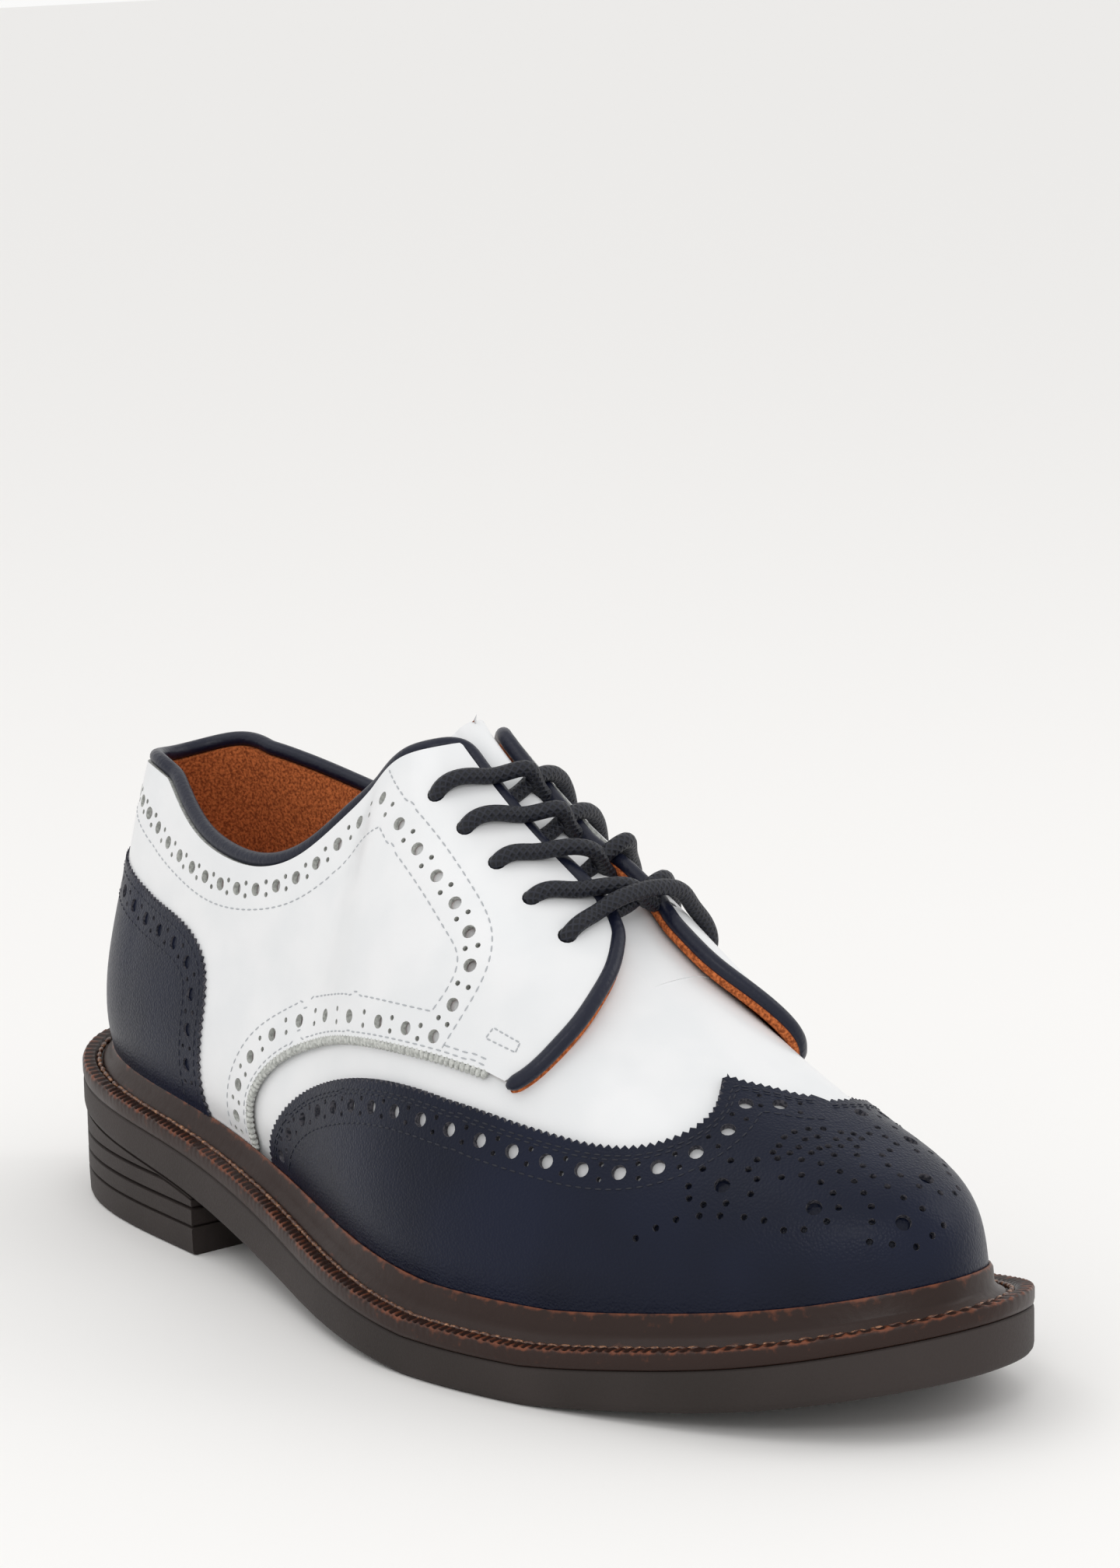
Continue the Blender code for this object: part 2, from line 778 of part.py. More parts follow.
def heel_ring(shares, inset, height):
    """A ring of the heel: round the back, and straight across at the breast."""
    ring = []
    sides = [(LATERAL, share) for share in shares]
    sides += [(MEDIAL, share) for share in reversed(shares[1:])]
    for side, share in sides:
        spot = rim_point(side, share, inset(side, share) if callable(inset) else inset)
        level = height(spot[0] / LENGTH) if callable(height) else height
        ring.append(place(spot[0], spot[1], float(level)))
    return ring


def make_outsole(collection):
    shares = lattice_shares()
    rings = [
        plate_ring(shares, 0.0012, underside),
        plate_ring(shares, 0.0003, lambda share: underside(share) + 0.0012),
        plate_ring(shares, 0.0, lambda share: underside(share) + 0.5 * RUBBER),
        plate_ring(shares, 0.0004, sole_top),
    ]
    mesh = solid_mesh("outsole", rings, "round")
    return add_object("outsole", mesh, "dark_rubber", collection)


def heel_shares():
    shares = lattice_shares(0.0, BREAST - 0.006) + [BREAST]
    return shares


def make_heel_block(collection):
    """The heel between the outsole and the top lift, with grooves parallel to the floor."""
    def top(share):
        return float(underside(share)) - CLEARANCE

    def level(height, rows_left):
        return lambda share: min(height, top(share) - 0.0002 * rows_left)

    def groove(height):
        return lambda side, share: GROOVE_DEPTH * ease((top(share) - height) / 0.002) + 0.0006

    shares = heel_shares()
    base = TOP_LIFT + CLEARANCE
    heights = [(0.0010, base), (0.0006, base + 0.0006)]
    for count in (1, 2):
        centre = TOP_LIFT + 0.0004 + count * GROOVE_PITCH
        heights += [(0.0006, centre - 0.0004), (groove(centre), centre - 0.0001)]
        heights += [(groove(centre), centre + 0.0001), (0.0006, centre + 0.0004)]
    heights.append((0.0006, 1.0))
    rings = []
    for index, (inset, height) in enumerate(heights):
        rings.append(heel_ring(shares, inset, level(height, len(heights) - 1 - index)))
    mesh = solid_mesh("heel_block", rings, "straight")
    return add_object("heel_block", mesh, "dark_rubber", collection)


def make_top_lift(collection):
    shares = heel_shares()
    rings = [heel_ring(shares, inset, height) for inset, height in (
        (0.0016, 0.0), (0.0008, 0.0008), (0.0008, TOP_LIFT - 0.0005), (0.0012, TOP_LIFT))]
    mesh = solid_mesh("top_lift", rings, "straight")
    return add_object("top_lift", mesh, "dark_rubber", collection)


def make_welt(collection):
    """The leather welt round the whole shoe: a rim, a stitch channel and a storm lip."""
    sections = []
    for side, share in round_the_shoe(lattice_shares()):
        here = section(side, round(float(share), 6))
        edge = reach(EDGE, here.origin, here.way)
        wall = here.half + CLEARANCE
        width = edge - wall
        rim = WELT_THICKNESS
        profile = ((edge - 0.0004, 0.0), (edge, 0.0008), (edge, rim - 0.0008),
                   (edge - 0.0010, rim), (edge - 0.50 * width, rim - 0.0004),
                   (edge - 0.62 * width, rim - 0.0012), (wall + 0.0016, rim + 0.0004),
                   (wall + 0.0010, None), (wall, None), (wall, 0.0))
        ring = []
        for half, height in profile:
            spot = here.origin + here.way * half
            level = here.foot - CLEARANCE
            if height is not None:
                level = float(sole_top(spot[0] / LENGTH)) + CLEARANCE + height
            ring.append(place(spot[0], spot[1], level))
        sections.append(ring)
    mesh = bpy.data.meshes.new("welt")
    build = bmesh.new()
    loops = [[build.verts.new(point) for point in ring] for ring in sections]
    for one, two in zip(loops, loops[1:] + loops[:1]):
        for k in range(len(one)):
            m = (k + 1) % len(one)
            build.faces.new((one[k], two[k], two[m], one[m]))
    bmesh.ops.recalc_face_normals(build, faces=build.faces)
    build.to_mesh(mesh)
    build.free()
    return add_object("welt", mesh, "brown_leather", collection)


def make_insole(collection):
    """The footbed, inside the upper's wall and on the sole."""
    inside = PANEL + UPPER_WALL + 5 * CLEARANCE

    def ring(inset, rise):
        points = []
        for side, share in round_the_shoe(lattice_shares()):
            here = section(side, round(float(share), 6))
            spot = here.origin + here.way * (here.half - inside - inset)
            base = float(sole_top(spot[0] / LENGTH)) + CLEARANCE
            points.append(place(spot[0], spot[1], base + rise))
        return points

    rings = [ring(0.0005, 0.0), ring(0.0, 0.0008), ring(0.0, INSOLE - 0.0008),
             ring(0.0006, INSOLE)]
    return add_object("insole", solid_mesh("insole", rings, "round"), "tan_suede", collection)


def make_tongue(collection):
    """The tongue, under the facings and the closed end of the vamp."""
    inside = PANEL + UPPER_WALL + 5 * CLEARANCE
    lines = []
    for share in np.linspace(TONGUE_TOP, TONGUE_END, 12):
        half = float(TONGUE_SHAPE["half"](share))
        line = []
        for across in np.linspace(-1, 1, 11):
            side = MEDIAL if across > 0 else LATERAL
            here = section(side, round(float(share), 6))
            turn = here.turn_at_half(abs(across) * half)
            line.append(here.point(min(turn / here.top, 1 / here.top)))
        lines.append(line)
    mesh = grid_mesh("tongue", lines)
    push_out(mesh, -inside)
    for vertex in mesh.vertices:
        along = (LENGTH / 2 - vertex.co.y) / LENGTH
        across = (vertex.co.x + MIDDLE - RIDGE["shift"](along)) / (0.6 * FACING_GAP)
        middle = max(1 - across ** 2, 0)
        vertex.co.z += TONGUE_RISE * middle * ease((0.61 - along) / 0.06)
    tongue = add_object("tongue", mesh, "white_leather", collection)
    thicken(tongue, TONGUE)
    return tongue


def tube_mesh(name, points, radius, sides=8):
    """A round cord through the points, with flat ends."""
    points = [np.asarray(point, float) for point in points]
    rings = []
    normal = None
    for k, point in enumerate(points):
        ahead = points[min(k + 1, len(points) - 1)] - points[max(k - 1, 0)]
        ahead = ahead / np.linalg.norm(ahead)
        if normal is None:
            normal = np.cross(ahead, (0.0, 0.0, 1.0))
        normal = normal - ahead * (normal @ ahead)
        normal = normal / np.linalg.norm(normal)
        beside = np.cross(ahead, normal)
        turns = np.linspace(0, 2 * math.pi, sides, endpoint=False)
        rings.append([point + radius * (normal * math.cos(a) + beside * math.sin(a))
                      for a in turns])
    return solid_mesh(name, rings, None)


def piping_height(share, fraction):
    """How far the piping's centre stands off the surface: over the vamp it rides up."""
    over = max(flap_lift(share, fraction) - 0.5 * PANEL, 0.00025)
    inside = -(PANEL + CLEARANCE + UPPER_WALL) / 2
    blend = ease((share - 0.572) / 0.03)
    return inside * (1 - blend) + over * blend


def piping_path():
    """Along one flap's front edge, the facing, the collar, and so round to the other flap."""
    path = []
    for side in (LATERAL, MEDIAL):
        half = [(side, share, fraction) for share, fraction in reversed(FLAP_EDGE[side])]
        for share in (0.630, 0.616, 0.602):
            half.append((side, share, facing_fraction(side, share)))
        tops = lattice_shares(0.0 if side == LATERAL else 0.001, 0.585)
        half += [(side, share, 1.0) for share in reversed(tops)]
        path += half if side == LATERAL else half[::-1]
    return path


def make_piping(collection):
    spots = piping_path()
    edge = [surface(*spot) for spot in spots]
    centres = []
    for k, (side, share, fraction) in enumerate(spots):
        ahead = edge[min(k + 1, len(edge) - 1)] - edge[max(k - 1, 0)]
        normal = outward(side, share, fraction)
        beyond = np.cross(ahead, normal)
        beyond = beyond / np.linalg.norm(beyond)
        centre = edge[k] + beyond * (PIPING + 2 * CLEARANCE)
        centres.append(centre + normal * piping_height(share, fraction))
    mesh = tube_mesh("piping", centres, PIPING)
    return add_object("piping", mesh, "navy_leather", collection)


def lace_height(share, across, low=None):
    """A lace's height over the surface: low at its start, over the piping, on the leather."""
    height = piping_height(share, 0.9) + PIPING + LACE + 3 * CLEARANCE
    if low is not None:
        rise = ease((across + LACE_START) / (LACE_START + 0.5 * FACING_GAP))
        height = low * (1 - rise) + height * rise
    on_leather = flap_lift(share, 0.9) + LACE + 2 * CLEARANCE
    drop = ease((abs(across) - FACING_GAP) / (0.5 * FACING_GAP))
    return height * (1 - drop) + on_leather * drop


def lace_point(share, across, height):
    """A point over the surface, from how far it is to the side of the ridge."""
    side = MEDIAL if across > 0 else LATERAL
    here = section(side, round(float(share), 6))
    fraction = here.turn_at_half(abs(across)) / here.top
    return here.point(fraction) + outward(side, share, min(fraction, 0.99)) * height


def make_laces(collection, cutters):
    """Each level crosses from inside one facing to the eyelet above on the other."""
    eyelets = [EYELET_TOP + EYELET_STEP * n for n in range(EYELETS)]
    for level in range(EYELETS - 1):
        tubes = []
        for way in (LATERAL, MEDIAL):
            points = []
            for across in np.linspace(-LACE_START, EYELET_REACH, 11):
                step = (across + LACE_START) / (EYELET_REACH + LACE_START)
                share = eyelets[level + 1] - LACE_AHEAD - (EYELET_STEP - LACE_AHEAD) * step
                height = lace_height(share, across, LACE_LOW)
                points.append(lace_point(share, way * across, height))
            tubes.append(points)
        name = f"lace_cross_{level + 1}"
        lace = add_object(name, tube_mesh(name, tubes[0], LACE), "navy_cord", collection)
        other = add_object("lace_cutter", tube_mesh("lace_cutter", tubes[1], LACE), None, cutters)
        other.hide_render = True
        other.display_type = "WIRE"
        keep_inside(lace, other, "UNION")
    share = eyelets[-1]
    points = []
    for across in np.linspace(-EYELET_REACH, EYELET_REACH, 16):
        height = lace_height(share, across) + 0.5 * LACE * (abs(across) < FACING_GAP)
        points.append(lace_point(share, across, height))
    add_object("lace_bar", tube_mesh("lace_bar", points, LACE), "navy_cord", collection)


def main():
    for old in list(bpy.data.objects):
        bpy.data.objects.remove(old, do_unlink=True)
    parts = bpy.data.collections.new("spectator_shoe")
    cutters = bpy.data.collections.new("cutters")
    bpy.context.scene.collection.children.link(parts)
    bpy.context.scene.collection.children.link(cutters)
    make_outsole(parts)
    make_heel_block(parts)
    make_top_lift(parts)
    make_welt(parts)
    make_insole(parts)
    make_upper(parts)
    make_tongue(parts)
    add_panel("wingtip", wing_cutter(cutters), "navy_leather", parts)
    add_panel("counter", counter_cutter(cutters), "navy_leather", parts)
    add_panel("backstay", backstay_cutter(cutters), "navy_leather", parts)
    for side, name in ((LATERAL, "quarter_lateral"), (MEDIAL, "quarter_medial")):
        add_panel(name, quarter_cutter(side, cutters), "white_leather", parts, flap=True)
    make_piping(parts)
    make_laces(parts, cutters)


main()
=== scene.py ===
# %% [markdown]
# Spectator shoe, right foot
#
# The shoe is dressed here over its CAD model. The last, the sole and the laces' places come
# from the same sizes as in the CAD source. This script adds what leather, suede, thread and
# rubber look like: pinked and punched panels, stitches, a wheeled welt, a braided lace and the
# grain of each skin.

# %% Load the frame
import math

import bmesh
import bpy
import numpy as np
from mathutils import Matrix, Vector
from mathutils.geometry import delaunay_2d_cdt


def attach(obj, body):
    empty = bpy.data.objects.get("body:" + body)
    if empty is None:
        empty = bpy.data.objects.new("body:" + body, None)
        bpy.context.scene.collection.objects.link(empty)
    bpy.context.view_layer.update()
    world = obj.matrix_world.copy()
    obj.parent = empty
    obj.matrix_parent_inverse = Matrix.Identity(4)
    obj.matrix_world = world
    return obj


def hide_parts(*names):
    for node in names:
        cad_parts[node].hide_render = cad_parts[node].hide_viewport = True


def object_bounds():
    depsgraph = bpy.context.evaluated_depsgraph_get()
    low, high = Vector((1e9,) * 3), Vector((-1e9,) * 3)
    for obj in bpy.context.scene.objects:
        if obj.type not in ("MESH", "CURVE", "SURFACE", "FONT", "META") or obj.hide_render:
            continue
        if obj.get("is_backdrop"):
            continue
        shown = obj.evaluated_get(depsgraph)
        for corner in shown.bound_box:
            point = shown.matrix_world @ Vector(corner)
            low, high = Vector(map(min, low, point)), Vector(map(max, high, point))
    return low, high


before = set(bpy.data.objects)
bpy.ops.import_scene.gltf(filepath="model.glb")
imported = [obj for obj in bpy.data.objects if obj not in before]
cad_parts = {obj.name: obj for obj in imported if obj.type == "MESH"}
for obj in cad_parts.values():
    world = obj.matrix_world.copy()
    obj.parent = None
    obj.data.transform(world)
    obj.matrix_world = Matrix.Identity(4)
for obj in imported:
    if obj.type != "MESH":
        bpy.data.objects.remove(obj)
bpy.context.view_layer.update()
bpy.ops.object.select_all(action="DESELECT")
print("CAD nodes:", sorted(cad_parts))

# %% [markdown]
# The camera stands as in the photograph: low, in front and to the outer side, with a long
# lens. Its three axes were solved from points of the sole and the collar, and the frame is
# taller than wide, so the long side carries the sensor's 36 mm.

# %% Camera
SHIFT = 0.00475
LENS = 112.92
CAMERA_PLACE = (-0.6970 + SHIFT, -0.84955, 0.34190)
camera_data = bpy.data.cameras.new("camera")
camera_data.lens = LENS
camera_data.sensor_width = 36.0
camera_data.sensor_fit = "AUTO"
camera_data.clip_start = 0.05
camera_data.clip_end = 20.0
camera = bpy.data.objects.new("camera", camera_data)
bpy.context.scene.collection.objects.link(camera)
right = Vector((0.76205, -0.64728, -0.01793))
up = Vector((0.14212, 0.14018, 0.97987))
back = Vector((-0.63173, -0.74926, 0.19882))
turn = Matrix((right, up, back)).transposed()
camera.matrix_world = Matrix.Translation(CAMERA_PLACE) @ turn.to_4x4()
bpy.context.scene.camera = camera

# %% [markdown]
# A plain pale sweep and soft lights. In the photograph the light falls from above and a
# little behind, so the toe and the collar have a long soft highlight and the shadow lies under
# the sole towards the camera.

# %% Floor, world and lights
WORLD_GREY = 0.96


def soft_light(name, place, target, size, power):
    data = bpy.data.lights.new(name, "AREA")
    data.shape = "RECTANGLE"
    data.size, data.size_y = size
    data.energy = power
    light = bpy.data.objects.new(name, data)
    bpy.context.scene.collection.objects.link(light)
    light.location = place
    light.rotation_euler = (Vector(target) - Vector(place)).to_track_quat("-Z", "Y").to_euler()


bpy.ops.mesh.primitive_plane_add(size=12, location=(0, 0, 0))
floor = bpy.context.object
floor.name = "floor"
floor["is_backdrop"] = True
soft_light("key", (-0.5, 0.3, 1.25), (0, 0, 0.05), (0.9, 0.7), 1.6)
soft_light("front", (-0.9, -0.9, 0.95), (0, 0, 0.05), (0.3, 0.3), 2.0)
soft_light("rim", (0.9, -0.6, 0.8), (0, -0.05, 0.05), (0.35, 0.8), 1.6)
world = bpy.data.worlds.new("world")
world.use_nodes = True
bpy.context.scene.world = world
world.node_tree.nodes["Background"].inputs["Color"].default_value = (1.0, 0.998, 0.99, 1)
world.node_tree.nodes["Background"].inputs["Strength"].default_value = WORLD_GREY
bpy.context.scene.view_settings.view_transform = "Standard"

# %% [markdown]
# Shader maths reads best as plain expressions. A `Wire` wraps a socket, so that adding or
# multiplying two of them adds the Math node, and a `Finish` holds one material and makes its
# other nodes.

# %% Shader helpers


class Wire:
    """An output socket that can be used in sums."""

    def __init__(self, finish, socket):
        self.finish = finish
        self.socket = socket

    def math(self, operation, *others):
        values = dict(enumerate([self, *others]))
        return self.finish.node("ShaderNodeMath", values, operation=operation)

    def __add__(self, other):
        return self.math("ADD", other)

    def __radd__(self, other):
        return self.math("ADD", other)

    def __sub__(self, other):
        return self.math("SUBTRACT", other)

    def __rsub__(self, other):
        return self.finish.node("ShaderNodeMath", {0: other, 1: self}, operation="SUBTRACT")

    def __mul__(self, other):
        return self.math("MULTIPLY", other)

    def __rmul__(self, other):
        return self.math("MULTIPLY", other)

    def fade(self, low, high):
        """0 below low, 1 above high, and a soft step between them."""
        return self.finish.node("ShaderNodeMapRange", {"Value": self, "From Min": low,
                                                       "From Max": high},
                                interpolation_type="SMOOTHSTEP")


class Finish:
    """One material, with its main shader ready."""

    def __init__(self, name, colour, roughness, **sockets):
        self.material = bpy.data.materials.new(name)
        self.material.use_nodes = True
        self.tree = self.material.node_tree
        self.main = self.tree.nodes["Principled BSDF"]
        self.set("Base Color", (*colour, 1.0))
        self.set("Roughness", roughness)
        for socket, value in sockets.items():
            self.set(socket.replace("_", " "), value)

    def set(self, socket, value):
        if isinstance(value, Wire):
            self.tree.links.new(value.socket, self.main.inputs[socket])
        else:
            self.main.inputs[socket].default_value = value

    def node(self, kind, inputs=None, output=0, **settings):
        made = self.tree.nodes.new(kind)
        for name, value in settings.items():
            setattr(made, name, value)
        for name, value in (inputs or {}).items():
            if isinstance(value, Wire):
                self.tree.links.new(value.socket, made.inputs[name])
            else:
                made.inputs[name].default_value = value
        return Wire(self, made.outputs[output])

    def place(self):
        return self.node("ShaderNodeTexCoord", output="Object")

    def noise(self, scale, detail):
        return self.node("ShaderNodeTexNoise", {"Vector": self.place(), "Scale": scale,
                                                "Detail": detail, "Roughness": 0.5})

    def cells(self, scale):
        return self.node("ShaderNodeTexVoronoi", {"Vector": self.place(), "Scale": scale})

    def mix(self, factor, first, second):
        """A colour between two others. Sockets 6 and 7 are the Mix node's colours."""
        return self.node("ShaderNodeMix", {0: factor, 6: (*first, 1.0), 7: (*second, 1.0)},
                         output=2, data_type="RGBA")

    def bump(self, height, distance):
        """Relief of a real depth in metres."""
        relief = self.node("ShaderNodeBump", {"Height": height, "Distance": distance,
                                              "Strength": 1.0}, output="Normal")
        self.set("Normal", relief)


# %% [markdown]
# The finishes. The white leather is smooth and glossy, the navy one has a fine pebble grain
# under a soft polish, the lining is rust-coloured suede, the welt is dark waxed leather with
# random rust mottling and a painted rust highlight on its raised places, and the sole is matt
# rubber.

# %% Leathers
white = Finish("white_leather", (0.78, 0.80, 0.82), 0.34, Coat_Weight=0.35, Coat_Roughness=0.18)
pores = white.noise(2600, 2.0)
soft = white.noise(60, 2.0)
white.set("Base Color", white.mix(soft.fade(0.3, 0.7), (0.74, 0.752, 0.765),
                                  (0.785, 0.79, 0.80)))
white.set("Roughness", 0.30 + 0.10 * soft)
white.bump(pores * 0.3 + soft * 0.7, 0.00006)

navy = Finish("navy_leather", (0.005, 0.007, 0.022), 0.4, Specular_IOR_Level=0.17,
              Coat_Weight=0.03, Coat_Roughness=0.25)
pebble = navy.cells(1500)
fine = navy.noise(2400, 3.0)
broad = navy.noise(28, 2.0)
navy.set("Base Color", navy.mix(broad.fade(0.3, 0.7), (0.0030, 0.0050, 0.0150),
                                (0.0055, 0.0085, 0.0240)))
navy.set("Roughness", 0.27 + 0.14 * pebble + 0.06 * fine)
navy.bump(pebble * 0.75 + fine * 0.25, 0.00012)

piped = Finish("piping_leather", (0.005, 0.007, 0.020), 0.36, Coat_Weight=0.06,
               Coat_Roughness=0.2, Specular_IOR_Level=0.3)
crinkle = piped.noise(900, 4.0)
piped.set("Roughness", 0.28 + 0.2 * crinkle)
piped.bump(crinkle, 0.00018)

suede = Finish("tan_suede", (0.42, 0.15, 0.055), 0.95, Specular_IOR_Level=0.2)
nap = suede.noise(1500, 4.0)
patch = suede.noise(70, 2.0)
suede.set("Base Color", suede.mix(nap.fade(0.3, 0.7), (0.22, 0.052, 0.015), (0.64, 0.180, 0.054)))
suede.bump(nap * 0.8 + patch * 0.2, 0.0003)

welted = Finish("welt_leather", (0.035, 0.014, 0.009), 0.42, Coat_Weight=0.05,
                Coat_Roughness=0.25, Specular_IOR_Level=0.25)
blotch_noise = welted.noise(420, 4.0)
streak = welted.noise(90, 3.0)
high = welted.node("ShaderNodeAttribute", attribute_name="high", output="Fac")
# Painted highlight: rust colour laid on the welt's raised ridges, outer edge and lip (attribute
# high), mixed with random rust mottling from the noise.
mottle_and_highlight = (blotch_noise * 0.9 + high * 0.5 - 0.70).fade(0.0, 0.35)
welted.set("Base Color", welted.mix(mottle_and_highlight, (0.022, 0.009, 0.006), (0.16, 0.045, 0.018)))
welted.set("Roughness", 0.30 + 0.25 * streak)
welted.bump(blotch_noise * 0.6 + streak * 0.4, 0.00022)

rubber = Finish("dark_rubber", (0.030, 0.023, 0.021), 0.62, Specular_IOR_Level=0.25)
dust = rubber.noise(1800, 3.0)
cloud = rubber.noise(22, 2.0)
rubber.set("Base Color", rubber.mix(cloud.fade(0.3, 0.7), (0.026, 0.020, 0.018),
                                    (0.040, 0.031, 0.029)))
rubber.set("Roughness", 0.50 + 0.22 * dust)
rubber.bump(dust, 0.00005)

# %% [markdown]
# The raw edge of a cut panel shows the hide's inside: greyish on the white panels and the
# gimped border below them. Threads are plain twisted cord, and the floor is matt paper.

# %% Raw edges, threads and paper
raw = Finish("raw_edge", (0.52, 0.53, 0.50), 0.85)
fibre = raw.noise(1300, 4.0)
raw.set("Base Color", raw.mix(fibre.fade(0.3, 0.7), (0.36, 0.37, 0.35), (0.62, 0.63, 0.60)))
raw.bump(fibre, 0.00025)

dark_raw = Finish("dark_edge", (0.03, 0.032, 0.045), 0.8)
dark_fibre = dark_raw.noise(1300, 4.0)
dark_raw.set("Base Color", dark_raw.mix(dark_fibre.fade(0.35, 0.65), (0.012, 0.014, 0.024),
                                        (0.10, 0.095, 0.11)))
dark_raw.bump(dark_fibre, 0.0002)


def thread_finish(name, colour):
    made = Finish(name, colour, 0.6)
    twist = made.noise(2500, 2.0)
    made.set("Roughness", 0.45 + 0.3 * twist)
    made.bump(twist, 0.0001)
    return made


grey_thread = thread_finish("grey_thread", (0.42, 0.44, 0.46))
navy_thread = thread_finish("navy_thread", (0.006, 0.008, 0.018))

paper = Finish("paper", (0.865, 0.855, 0.845), 0.9)
tooth = paper.noise(400, 3.0)
paper.set("Roughness", 0.8 + 0.15 * tooth)
floor.data.materials.append(paper.material)

# %% [markdown]
# The braided lace takes its pattern from its own UV map: u runs along the cord in turns of
# its diameter, v goes once round it. Two families of slanting strands cross, and each strand's
# crown is a little raised and waxed. The colour is painted darker in the grooves between the
# strands, as shade.

# %% Braid
lace_finish = Finish("waxed_braid", (0.009, 0.011, 0.020), 0.45, Coat_Weight=0.06,
                     Coat_Roughness=0.3, Specular_IOR_Level=0.35)
uv = lace_finish.node("ShaderNodeUVMap", uv_map="cord")
along = lace_finish.node("ShaderNodeSeparateXYZ", {0: uv})
around = Wire(lace_finish, along.socket.node.outputs["Y"])
STRANDS_ALONG = 15.0
STRANDS_AROUND = 37.70
one_way = (along * STRANDS_ALONG + around * STRANDS_AROUND).math("SINE")
other_way = (along * STRANDS_ALONG - around * STRANDS_AROUND).math("SINE")
strands = one_way.math("MAXIMUM", other_way)
wax = lace_finish.noise(1400, 3.0)
# Painted shade: the colour is darker in the grooves between strands and keeps the lace's own navy
# on the crowns.
lace_finish.set("Base Color", lace_finish.mix(strands.fade(0.2, 1.0), (0.002, 0.0025, 0.006),
                                              (0.012, 0.014, 0.024)))
lace_finish.set("Roughness", 0.36 + 0.3 * wax)
lace_finish.bump(strands * 0.8 + wax * 0.2, 0.00016)

# %% [markdown]
# The last. One surface carries the whole upper, as in the CAD source: sections stand round the
# heel, straight across the shoe and round the toe, and each runs from the welt up to the
# collar, the facing or the ridge. The tables give each section's shape as shares of the shoe's
# sizes.

# %% Sizes of the last
LENGTH = 0.302
BALL_WIDTH = 0.108
HEEL_HEIGHT = 0.0235
INSTEP_HEIGHT = 0.100
COLLAR_HEIGHT = 0.107
RUBBER = 0.0090
WELT_WIDTH = 0.0084
WELT_THICKNESS = 0.0046
LIP_HEIGHT = 0.0060
PANEL = 0.0015
UPPER_WALL = 0.0020
CLEARANCE = 0.0003
FACING_GAP = 0.0090
FLAP_LIFT = 0.0030
FLAP_START = 0.55
FLAP_RUN = 0.095
TOP_LIFT = 0.0068
GROOVE_PITCH = 0.0045
HEEL_CENTRE = 0.132
TOE_CENTRE = 0.851
BREAST = 0.268
FACING_TOP = 0.490
THROAT_ROUND = 0.585
THROAT_END = 0.6295
EYELET_TOP = 0.505
EYELET_STEP = 0.0335
EYELET_REACH = 0.0200
EYELETS = 5
HEEL_HALF = 0.19
WALL_RISE = 0.11
WALL_LEAN = 1.85
SWELL_HEIGHT = 0.045
SWELL_GAIN = 6.75
TOE_SIDE = 2.12
TOE_CROWN = 2.35
TOE_DROP = 0.41

# share of the length, share of the ball width
OUTLINE = ((0, 0), (0.038, -0.195), (0.122, -0.312), (0.26, -0.37), (0.418, -0.45),
           (0.56, -0.548), (0.69, -0.528), (0.82, -0.412), (0.935, -0.235), (1, 0.037),
           (0.966, 0.28), (0.86, 0.417), (0.74, 0.452), (0.6, 0.398), (0.45, 0.32),
           (0.28, 0.303), (0.12, 0.296), (0.038, 0.195))
# share, underside / heel height, thickness / rubber
SOLE_ROWS = ((0, 1, 0.89), (0.12, 0.85, 0.89), (0.24, 0.68, 1), (0.34, 0.434, 1.14),
             (0.45, 0.19, 1.13), (0.56, 0.06, 1.02), (0.63, -0.012, 0.98),
             (0.71, -0.012, 0.98), (0.8, 0.094, 1.02), (0.9, 0.272, 1.1), (1, 0.57, 1.2))
# share, height / instep height, shift / ball width, side fullness, crown fullness
RIDGE_ROWS = ((0.42, 1.46, 0.037, 2.2, 1.88), (0.5, 1.286, 0.007, 2.26, 1.94),
              (0.575, 1.114, 0.014, 2.3, 2), (0.655, 0.916, 0.042, 2.32, 2.08),
              (0.7, 0.818, 0.056, 2.3, 2.12), (0.78, 0.68, 0.068, 2.28, 2.22),
              (0.851, 0.596, 0.076, 2.26, 2.3))
# share, swell / ball width, inset / welt width, lip / lip height
WALL_ROWS = ((0, 0.014, 1, 0.63), (0.15, 0.017, 0.976, 0.7), (0.3, 0.022, 0.952, 0.77),
             (0.55, 0.019, 1, 1.03), (0.75, 0.013, 1.095, 1.05), (1, -0.011, 1.167, 1.05))
# share, lateral and medial height / collar height, half width / ball width
COLLAR_ROWS = ((0.063, 1.002, 1.002, 0.083), (0.1, 1.015, 1.024, 0.12),
               (0.132, 0.996, 1.011, 0.156), (0.172, 0.948, 0.978, 0.202),
               (0.212, 0.907, 0.944, 0.237), (0.258, 0.883, 0.916, 0.259),
               (0.298, 0.881, 0.907, 0.265), (0.35, 0.927, 0.939, 0.252),
               (0.39, 1.014, 1.019, 0.226), (0.43, 1.121, 1.118, 0.179),
               (0.46, 1.183, 1.176, 0.144), (0.49, 1.211, 1.202, 0.111))

# %% Curves through a table


def smooth_curve(knots, values):
    """A curve through the knots with an even bend, held level past its ends."""
    knots, values = np.asarray(knots, float), np.asarray(values, float)
    step, last = np.diff(knots), len(knots) - 1
    system, right_side = np.eye(last + 1), np.zeros(last + 1)
    slope = np.diff(values) / step
    for k in range(1, last):
        system[k, k - 1:k + 2] = step[k - 1], 2 * (step[k - 1] + step[k]), step[k]
        right_side[k] = 6 * (slope[k] - slope[k - 1])
    bend = np.linalg.solve(system, right_side)

    def at(where):
        where = np.clip(np.asarray(where, float), knots[0], knots[-1])
        k = np.clip(np.searchsorted(knots, where) - 1, 0, last - 1)
        left = (knots[k + 1] - where) / step[k]
        near = 1 - left
        curve = (left ** 3 - left) * bend[k] + (near ** 3 - near) * bend[k + 1]
        return left * values[k] + near * values[k + 1] + curve * step[k] ** 2 / 6
    return at


def column(rows, index, scale=1.0):
    return smooth_curve([row[0] for row in rows], [row[index] * scale for row in rows])


